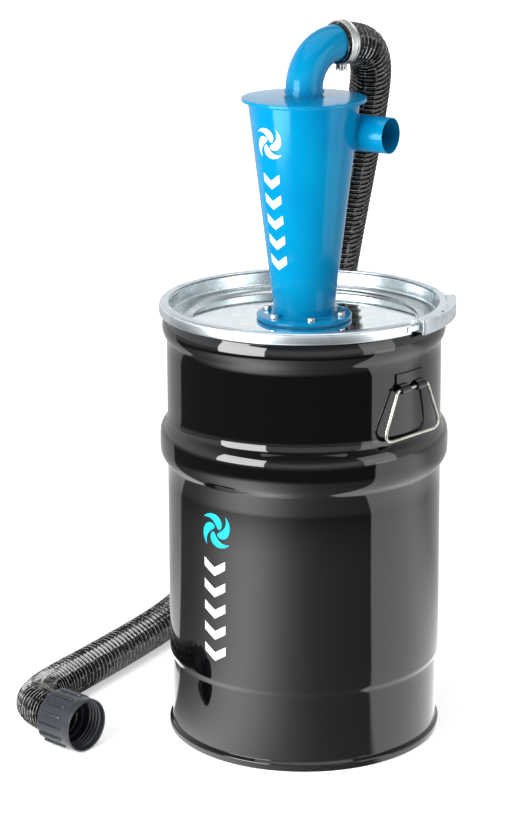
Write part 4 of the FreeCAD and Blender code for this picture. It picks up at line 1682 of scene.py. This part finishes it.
@dataclass
class Cyclone:
    """Welded cyclone: bolted flange, cone, cover plate, outlet and inlet stub."""

    flange_low: float = 0.5915
    flange_high: float = 0.5965
    flange_radius: float = 0.0658
    flange_bore: float = 0.0398
    bolt_circle: float = 0.054
    bolt_count: int = 6
    first_bolt: float = 40.0
    bolt_radius: float = 0.003
    bolt_low: float = 0.5808
    head_across: float = 0.010
    head_height: float = 0.0045
    washer_radius: float = 0.0062
    washer_wall: float = 0.0014
    cone_low: float = 0.0413
    cone_high: float = 0.077
    cone_top: float = 0.893
    plate_radius: float = 0.0856
    plate_high: float = 0.898
    finder_radius: float = 0.0255
    stub_radius: float = 0.0253
    stub_height: float = 0.848
    stub_offset: float = 0.0457
    stub_heading: float = -32.3
    flange_edge: float = 0.0009
    plate_edge: float = 0.0012
    bead: float = 0.0016
    bead_lift: float = 0.0004
    bead_sink: float = 0.0006
    seam_angle: float = 118.0
    seam_margin: float = 0.004
    seam_points: int = 60
    ring_points: int = 96
    stub_points: int = 72

    def cone_radius(self, height: float) -> float:
        """Return the cone's outside radius at a height."""
        share = (height - self.flange_high) / (self.cone_top - self.flange_high)
        return self.cone_low + (self.cone_high - self.cone_low) * share

    def flange(self) -> bpy.types.Object:
        """Return the flange with broken edges.

        Returns:
            The new piece.
        """
        return turned("bolted_flange", rounded([
            (self.flange_bore, self.flange_low),
            (self.flange_radius, self.flange_low, self.flange_edge),
            (self.flange_radius, self.flange_high, self.flange_edge),
            (self.flange_bore, self.flange_high)], 4), 128)

    def plate(self) -> bpy.types.Object:
        """Return the round cover plate.

        Returns:
            The new piece.
        """
        return turned("cover_plate", rounded([
            (self.finder_radius, self.cone_top),
            (self.plate_radius, self.cone_top, self.plate_edge),
            (self.plate_radius, self.plate_high, self.plate_edge),
            (self.finder_radius, self.plate_high)], 4), 160)

    def bolt(self) -> bpy.types.Object:
        """Return one bolt at the axis: chamfered hexagon head, domed top and shank.

        Returns:
            The new piece.
        """
        low = self.flange_high + self.washer_wall
        top = low + self.head_height
        reach = self.head_across / 2 / math.cos(math.pi / 6)
        levels = [(reach, low), (reach, top - 0.0009), (reach * 0.93, top - 0.0004),
                  (reach * 0.78, top), (reach * 0.3, top)]
        vertices = [polar_point(radius, math.tau * k / 6, height)
                    for radius, height in levels for k in range(6)]
        faces = grid_faces(len(levels), 6, closed=True)
        faces += [tuple(range(5, -1, -1)), tuple(range(len(vertices) - 6, len(vertices)))]
        head = bevelled(new_piece("bolt_head", vertices, faces, 25), 0.0003)
        chamfer, root = 0.0005, low + 0.001
        shank = turned("bolt_shank", [
            (0.0, self.bolt_low), (self.bolt_radius - chamfer, self.bolt_low),
            (self.bolt_radius, self.bolt_low + chamfer), (self.bolt_radius, root),
            (0.0, root)], 16)
        return joined("flange_bolt", [head, shank])

    def washer(self) -> bpy.types.Object:
        """Return one washer at the axis.

        Returns:
            The new piece.
        """
        return turned("washer", rounded([
            (self.bolt_radius, self.flange_high), (self.washer_radius, self.flange_high, 0.0003),
            (self.washer_radius, self.flange_high + self.washer_wall, 0.0005),
            (self.bolt_radius, self.flange_high + self.washer_wall)], 2), 24)

    def ring_line(self, name: str, radius: float, height: float) -> bpy.types.Object:
        """Return a closed round line for a weld to follow."""
        return line_piece(name, [polar_point(radius, math.tau * k / self.ring_points, height)
                                 for k in range(self.ring_points)])

    def stub_line(self, name: str) -> bpy.types.Object:
        """Return the line where the inlet stub meets the cone.

        Args:
            name: the line's name.

        Returns:
            The line.
        """
        heading = math.radians(self.stub_heading)
        forward = Vector((math.cos(heading), math.sin(heading)))
        sideways = Vector((-math.sin(heading), math.cos(heading)))
        points = []
        for k in range(self.stub_points):
            angle = math.tau * k / self.stub_points
            height = self.stub_height + self.stub_radius * math.sin(angle)
            across = sideways * (self.stub_offset + self.stub_radius * math.cos(angle))
            rest = self.cone_radius(height) ** 2 - across.length_squared
            place = across + forward * math.sqrt(max(rest, 1e-8))
            points.append((place.x, place.y, height))
        return line_piece(name, points)

    def weld(self, name: str, line: bpy.types.Object, finishes: Finishes) -> None:
        """Lay a rippled weld bead along a line.

        Args:
            name: the bead's name.
            line: the line, which it uses up.
            finishes: the object's finishes.
        """
        bead_tree(name, self.bead, finishes.blue).grow(line)
        line.name = name
        line.data.shade_smooth()
        dressed(line, finishes.blue, Body.DRUM, Slot.BLUE)

    def back_line(self, name: str) -> bpy.types.Object:
        """Return the straight line up the back of the cone.

        Args:
            name: the line's name.

        Returns:
            The line.
        """
        angle = math.radians(self.seam_angle)
        low = self.flange_high + self.seam_margin
        rise = self.cone_top - self.flange_high - 2 * self.seam_margin
        last = self.seam_points - 1
        heights = [low + rise * step / last for step in range(self.seam_points)]
        return line_piece(name, [polar_point(self.cone_radius(height) - self.bead_sink, angle,
                                             height) for height in heights], closed=False)

    def build(self, finishes: Finishes) -> None:
        """Build what the CAD cone, elbow and stub don't have, and weld them together.

        Args:
            finishes: the object's finishes.
        """
        dressed(self.flange(), finishes.blue, Body.DRUM, Slot.BLUE, "cyclone_flange")
        dressed(self.plate(), finishes.blue, Body.DRUM, Slot.BLUE, "cyclone_top_plate")
        for name, one, node in (("hexagon_bolts", self.bolt(), "flange_bolts"),
                                ("plain_washers", self.washer(), "flange_washers")):
            ring = ring_tree(name, self.bolt_count, self.bolt_circle, self.first_bolt,
                             finishes.hardware).grow(one)
            ring.name = name
            dressed(ring, finishes.hardware, Body.DRUM, Slot.HARDWARE, node)
        for name, radius, height in (
                ("weld_cone_foot", self.cone_low + self.bead_lift,
                 self.flange_high + self.bead_lift),
                ("weld_cover_plate", self.cone_high + self.bead_lift / 2,
                 self.cone_top - self.bead_sink),
                ("weld_outlet", self.finder_radius + self.bead_lift,
                 self.plate_high + self.bead_lift)):
            self.weld(name, self.ring_line(name, radius, height), finishes)
        self.weld("weld_inlet", self.stub_line("weld_inlet"), finishes)
        self.weld("weld_cone_back", self.back_line("weld_cone_back"), finishes)


# ------------------------------------------------------------------ clamp and coupling


@dataclass
class HoseClamp:
    """Bolted band clamp with rolled edges, two lugs and a cross-head screw."""

    heading: float = 42.0
    height: float = 0.967
    near: float = 0.062
    far: float = 0.076
    inner: float = 0.029
    wall: float = 0.001
    lug_height: float = 0.009
    lug_wall: float = 0.002
    half_gap: float = 0.0025
    screw_radius: float = 0.0022
    head_radius: float = 0.0042
    head_height: float = 0.004
    edge_roll: float = 0.0009
    edge_bend: float = 0.0007
    edge_width: float = 0.0022
    edge_foot: float = 0.0034
    lug_inset: float = 0.0005
    lug_edge: float = 0.0007
    cross_reach: float = 0.0024
    cross_half: float = 0.0004
    nut_half: float = 0.0038
    nut_height: float = 0.003
    nut_edge: float = 0.0005
    screw_end: float = 0.0055

    def place(self) -> Matrix:
        """Return the clamp's place: Z along the elbow's mouth and Y up.

        Returns:
            The place as a matrix.
        """
        heading = math.radians(self.heading)
        return facing((0.0, 0.0, self.height),
                      Vector((math.cos(heading), math.sin(heading), 0.0)))

    def band(self) -> bpy.types.Object:
        """Return the band with its rolled edges, open at the bottom.

        Returns:
            The new piece.
        """
        outer = self.inner + self.wall
        roll, bend = outer + self.edge_roll, self.edge_bend
        outline = rounded([
            (self.inner, self.near), (roll, self.near, bend),
            (roll, self.near + self.edge_width, bend), (outer, self.near + self.edge_foot, 0.001),
            (outer, self.far - self.edge_foot, 0.001), (roll, self.far - self.edge_width, bend),
            (roll, self.far, bend), (self.inner, self.far)], 3)
        half = math.degrees(math.asin(self.half_gap / outer))
        return turned("band", outline, 120, -90 + half, 360 - 2 * half)

    def lug(self, side: int) -> bpy.types.Object:
        """Return the lug on one side of the gap.

        Args:
            side: -1 or 1.

        Returns:
            The lug, in the clamp's own place.
        """
        low = -(self.inner + self.wall + self.lug_height)
        inner, outer = self.half_gap, self.half_gap + self.lug_wall
        box = block("lug", (inner, low, self.near + self.lug_inset),
                    (outer, -self.inner, self.far - self.lug_inset))
        box = bevelled(box, self.lug_edge, 3)
        return placed(box, Matrix.Scale(side, 4, (1, 0, 0))) if side < 0 else box

    def screw(self) -> bpy.types.Object:
        """Return the screw across the lugs: pan head with a cross, shank and square nut.

        Returns:
            The new piece.
        """
        reach = self.half_gap + self.lug_wall
        pan = turned("pan_head", rounded([
            (0.0, 0.0), (self.head_radius, 0.0, 0.0004),
            (self.head_radius, self.head_height, 0.0016), (0.0, self.head_height)], 4), 32)
        low, high = self.head_height - 0.0002, self.head_height + 0.0003
        arms = [block("arm", (-long, -wide, low), (long, wide, high))
                for long, wide in ((self.cross_reach, self.cross_half),
                                   (self.cross_half, self.cross_reach))]
        head = placed(joined("head", [pan, *arms]), Matrix.Translation((0, 0, reach)))
        shank = turned("shank", rounded([
            (0.0, -reach - self.screw_end), (self.screw_radius, -reach - self.screw_end, 0.0005),
            (self.screw_radius, reach), (0.0, reach)], 2), 20)
        half = self.nut_half
        nut = bevelled(block("nut", (-half, -half, -reach - self.nut_height),
                             (half, half, -reach)), self.nut_edge)
        whole = joined("screw", [head, shank, nut])
        drop = -(self.inner + self.wall + self.lug_height / 2)
        turn = Matrix.Rotation(math.pi / 2, 4, "Y")
        return placed(whole, Matrix.Translation((0, drop, (self.near + self.far) / 2)) @ turn)

    def build(self, finishes: Finishes) -> list[bpy.types.Object]:
        """Build the clamp and return its pieces.

        Args:
            finishes: the object's finishes.

        Returns:
            The band and the screw.
        """
        place = self.place()
        band = joined("clamp_band", [self.band(), self.lug(-1), self.lug(1)])
        tidy_mesh(placed(band, place), turn_out=True)
        screw = placed(self.screw(), place)
        screw.name = "clamp_screw"
        tidy_mesh(screw)
        dressed(band, finishes.hardware, Body.DRUM, Slot.HARDWARE, "hose_clamp_band")
        dressed(screw, finishes.hardware, Body.DRUM, Slot.HARDWARE, "hose_clamp_screw")
        return [band, screw]


@dataclass
class Coupling:
    """Ribbed coupling nut with an inside thread, free to spin on the hose's cuff."""

    origin: Point = (-0.334, -0.096, 0.039)
    heading: tuple[float, float] = (47.0, -40.0)
    rear: float = -0.0184
    front: float = 0.0436
    radius: float = 0.0366
    rear_bore: float = 0.031
    chamber: float = 0.0344
    collar_stop: float = 0.0044
    rib_count: int = 14
    rib_top: float = 0.039
    rib_half: float = 0.0027
    rib_start: float = -0.0172
    rib_end: float = 0.0265
    thread_crest: float = 0.0326
    thread_pitch: float = 0.006
    thread_start: float = 0.010
    thread_end: float = 0.0385
    thread_foot: float = 0.0024
    thread_top: float = 0.0009
    thread_fade: int = 12
    thread_sides: int = 48
    collar_room: float = 0.0049
    front_flare: float = 0.0006
    rib_stations: int = 14
    rib_levels: int = 6
    rib_sunk: float = 0.0012
    rib_runout: float = 0.0045
    rib_squareness: float = 0.45

    def place(self) -> Matrix:
        """Return the coupling's place: Z out of its mouth."""
        return facing(self.origin, Vector((*self.heading, 0.0)))

    def shell(self) -> bpy.types.Object:
        """Return the turned shell with a rounded front lip.

        Returns:
            The new piece.
        """
        floor, flared = self.collar_stop - self.collar_room, self.radius + self.front_flare
        outline = rounded([
            (self.rear_bore, self.rear, 0.0006), (self.radius - 0.0006, self.rear, 0.0016),
            (self.radius, self.rib_end + 0.003), (flared, self.rib_end + 0.006, 0.001),
            (flared, self.front, 0.0022), (self.chamber, self.front, 0.0009),
            (self.chamber, floor, 0.0004), (self.rear_bore, floor, 0.0004)], 5)
        return turned("nut_shell", outline, 144)

    def rib(self) -> bpy.types.Object:
        """Return one grip rib with rounded ends, standing on the axis.

        Returns:
            The new piece.
        """
        stations, levels = self.rib_stations, self.rib_levels
        vertices = []
        root = self.radius - self.rib_sunk
        for step in range(stations + 1):
            share = step / stations
            along = self.rib_start + (self.rib_end - self.rib_start) * (
                0.5 - 0.5 * math.cos(math.pi * share))
            near = min(along - self.rib_start, self.rib_end - along) / self.rib_runout
            lift = math.sqrt(max(0.0, 1 - (1 - min(near, 1.0)) ** 2))
            for level in range(levels + 1):
                turn = math.pi * level / levels
                flat = math.copysign(abs(math.cos(turn)) ** self.rib_squareness, math.cos(turn))
                high = math.sin(turn) ** self.rib_squareness
                vertices.append((
                    root + (self.rib_top - root) * high * max(lift, 0.02),
                    self.rib_half * flat * max(lift, 0.15), along))
        row = levels + 1
        faces = grid_faces(stations + 1, row, closed=True)
        faces += [tuple(range(row)), tuple(range(stations * row, (stations + 1) * row))]
        piece = new_piece("grip_rib", vertices, faces, 50)
        return placed(piece, Matrix.Translation((-self.radius, 0, 0)))

    def thread(self) -> bpy.types.Object:
        """Return the helical inside thread.

        Returns:
            The new piece.
        """
        turns = (self.thread_end - self.thread_start) / self.thread_pitch
        steps = int(turns * self.thread_sides)
        root = self.chamber + 0.0003
        vertices = []
        for step in range(steps + 1):
            angle = math.tau * step / self.thread_sides
            middle = self.thread_start + self.thread_pitch * step / self.thread_sides
            fade = min(step, steps - step) / self.thread_fade
            top = root - (root - self.thread_crest) * min(fade, 1.0)
            for radius, shift in ((root, -self.thread_foot), (top, -self.thread_top),
                                  (top, self.thread_top), (root, self.thread_foot)):
                vertices.append(polar_point(radius, angle, middle + shift))
        faces = grid_faces(steps + 1, 4, closed=True)
        faces += [(0, 1, 2, 3), tuple(range(steps * 4, steps * 4 + 4))]
        return new_piece("thread", vertices, faces, 30)

    def build(self, finishes: Finishes) -> bpy.types.Object:
        """Mould the coupling nut and return it.

        Args:
            finishes: the object's finishes.

        Returns:
            The new piece.
        """
        ribs = ring_tree("rib_ring", self.rib_count, self.radius, 0.0,
                         finishes.coupling).grow(self.rib())
        nut = joined("coupling_shell", [self.shell(), ribs, self.thread()])
        tidy_mesh(placed(nut, self.place()), 40)
        dressed(nut, finishes.coupling, Body.COUPLING, Slot.COUPLING, "coupling_nut")
        return nut


# ------------------------------------------------------------------ decals


class Surface(Enum):
    """What a decal is stuck on."""

    DRUM = "drum"
    CONE = "cone"


@dataclass
class Decal:
    """Cut vinyl shapes, drawn flat and wrapped round the drum or the cone."""

    name: str
    surface: Surface
    azimuth: float
    height: float
    lift: float = 0.00025
    film: float = 0.00012
    chevron_steps: int = 12
    blade_steps: int = 22
    first_blade: float = 0.6
    blade_tip: float = 0.0002
    vertices: list = field(default_factory=list)
    faces: list = field(default_factory=list)

    def strip(self, left: Outline, right: Outline, across: int = 5) -> None:
        """Add a band between two lines.

        Args:
            left: one edge, as (across, up) from the decal's middle in metres.
            right: the other edge, with as many points.
            across: number of faces from edge to edge.
        """
        start = len(self.vertices)
        for a, b in zip(left, right):
            for step in range(across + 1):
                share = step / across
                self.vertices.append((a[0] + (b[0] - a[0]) * share, a[1] + (b[1] - a[1]) * share))
        self.faces += grid_faces(len(left), across + 1, first=start)

    def chevron(self, middle: float, half: float, drop: float, weight: float) -> None:
        """Add one flow chevron that points down.

        Args:
            middle: height of its tip above the decal's middle.
            half: half its width.
            drop: how far its tip hangs below its ends.
            weight: its height, measured straight up.
        """
        low, high = [], []
        for step in range(self.chevron_steps + 1):
            share = step / self.chevron_steps * 2 - 1
            rise = drop * abs(share)
            low.append((half * share, middle + rise))
            high.append((half * share, middle + rise + weight))
        self.strip(low, high, 6)

    def swirl(self, blades: int, inner: float, outer: float, twist: float, weight: float) -> None:
        """Add a whirl of curved blades.

        Args:
            blades: how many.
            inner: radius where they start.
            outer: radius where they end.
            twist: how far each one turns, in radians.
            weight: half its greatest width.
        """
        for blade in range(blades):
            first = math.tau * blade / blades + self.first_blade
            left, right = [], []
            for step in range(self.blade_steps + 1):
                share = step / self.blade_steps
                reach = inner + (outer - inner) * share
                angle = first + twist * share
                swell = math.sin(math.pi * min(share ** 0.8 * 0.96 + 0.04, 1.0))
                slim = weight * swell + self.blade_tip
                tangent = math.atan2(reach * twist, outer - inner) + angle
                side = Vector((-math.sin(tangent), math.cos(tangent))) * slim
                here = Vector((reach * math.cos(angle), reach * math.sin(angle)))
                left.append(tuple(here - side))
                right.append(tuple(here + side))
            self.strip(left, right)

    def build(self, material: bpy.types.Material, slot: Slot, drum: "Drum",
              cyclone: "Cyclone") -> None:
        """Wrap the shapes round their surface and give the film its thickness.

        Args:
            material: the film's finish.
            slot: the record's material slot.
            drum: the drum, for its radius.
            cyclone: the cyclone, for the cone's radius.
        """
        middle = math.radians(self.azimuth - 90)
        wrapped = []
        for across, up in self.vertices:
            height = self.height + up
            on_drum = self.surface is Surface.DRUM
            radius = drum.radius(height) if on_drum else cyclone.cone_radius(height)
            angle = middle + across / radius
            wrapped.append(polar_point(radius + self.lift, angle, height))
        piece = new_piece(self.name, wrapped, self.faces, 60)
        facing_out = sum(polygon.normal.dot(Vector((*polygon.center.xy, 0.0)))
                         for polygon in piece.data.polygons)
        if facing_out < 0:
            piece.data.flip_normals()
        dressed(thickened(piece, self.film), material, Body.DRUM, slot)


def make_decals(finishes: Finishes, drum: Drum, cyclone: Cyclone) -> None:
    """Stick a whirl and a column of flow chevrons on the drum and on the cone.

    Args:
        finishes: the object's finishes.
        drum: the drum, for its radius.
        cyclone: the cyclone, for the cone's radius.
    """
    whirl = Decal("drum_whirl", Surface.DRUM, azimuth=-38.5, height=0.330)
    whirl.swirl(blades=4, inner=0.0045, outer=0.0275, twist=1.9, weight=0.0058)
    whirl.build(finishes.cyan_vinyl, Slot.DRUM, drum, cyclone)
    flow = Decal("drum_chevrons", Surface.DRUM, azimuth=-39.5, height=0.216)
    for row in range(5):
        flow.chevron(0.049 - row * 0.0305, half=0.0185, drop=0.0115, weight=0.0125)
    flow.build(finishes.white_vinyl, Slot.DRUM, drum, cyclone)
    small = Decal("cone_whirl", Surface.CONE, azimuth=-42.0, height=0.843)
    small.swirl(blades=4, inner=0.004, outer=0.0245, twist=1.9, weight=0.0052)
    small.build(finishes.white_vinyl, Slot.BLUE, drum, cyclone)
    band = Decal("cone_chevrons", Surface.CONE, azimuth=-43.0, height=0.732)
    for row in range(5):
        band.chevron(0.047 - row * 0.0285, half=0.0145, drop=0.010, weight=0.012)
    band.build(finishes.white_vinyl, Slot.BLUE, drum, cyclone)


# ------------------------------------------------------------------ main


def main() -> None:
    """Load the frame and build the collector round it."""
    logging.basicConfig(level=logging.INFO, format="%(name)s: %(message)s")
    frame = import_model()
    finishes = Finishes()
    Stage().build()
    repaint(frame, ["drum_bottom", "handle_bracket_right", "handle_bracket_left"], finishes.drum)
    repaint(frame, ["closing_lever", "closing_link", "ring_pivot_lug"], finishes.ring)
    repaint(frame, ["flange_nuts", "lever_pivot_pin"], finishes.hardware)
    repaint(frame, ["cyclone_cone", "vortex_finder", "outlet_collar", "outlet_elbow",
                    "inlet_stub"], finishes.blue)
    repaint(frame, ["lid_gasket"], finishes.rubber)
    repaint(frame, ["flange_gasket"], finishes.seal)
    repaint(frame, ["hose_cuff"], finishes.coupling)
    hose = Hose()
    piece = hose.build(finishes)
    clamp = HoseClamp().build(finishes)
    nut = Coupling().build(finishes)
    drum, cyclone = Drum(), Cyclone()
    drum.build(finishes)
    Bail("wire_bail_right", "bail_right", Body.RIGHT_BAIL, -42.0).build(finishes)
    Bail("wire_bail_left", "bail_left", Body.LEFT_BAIL, 138.0).build(finishes)
    Lid().build(finishes)
    ClosingRing().build(finishes)
    cyclone.build(finishes)
    make_decals(finishes, drum, cyclone)


if __name__ == "__main__":
    main()
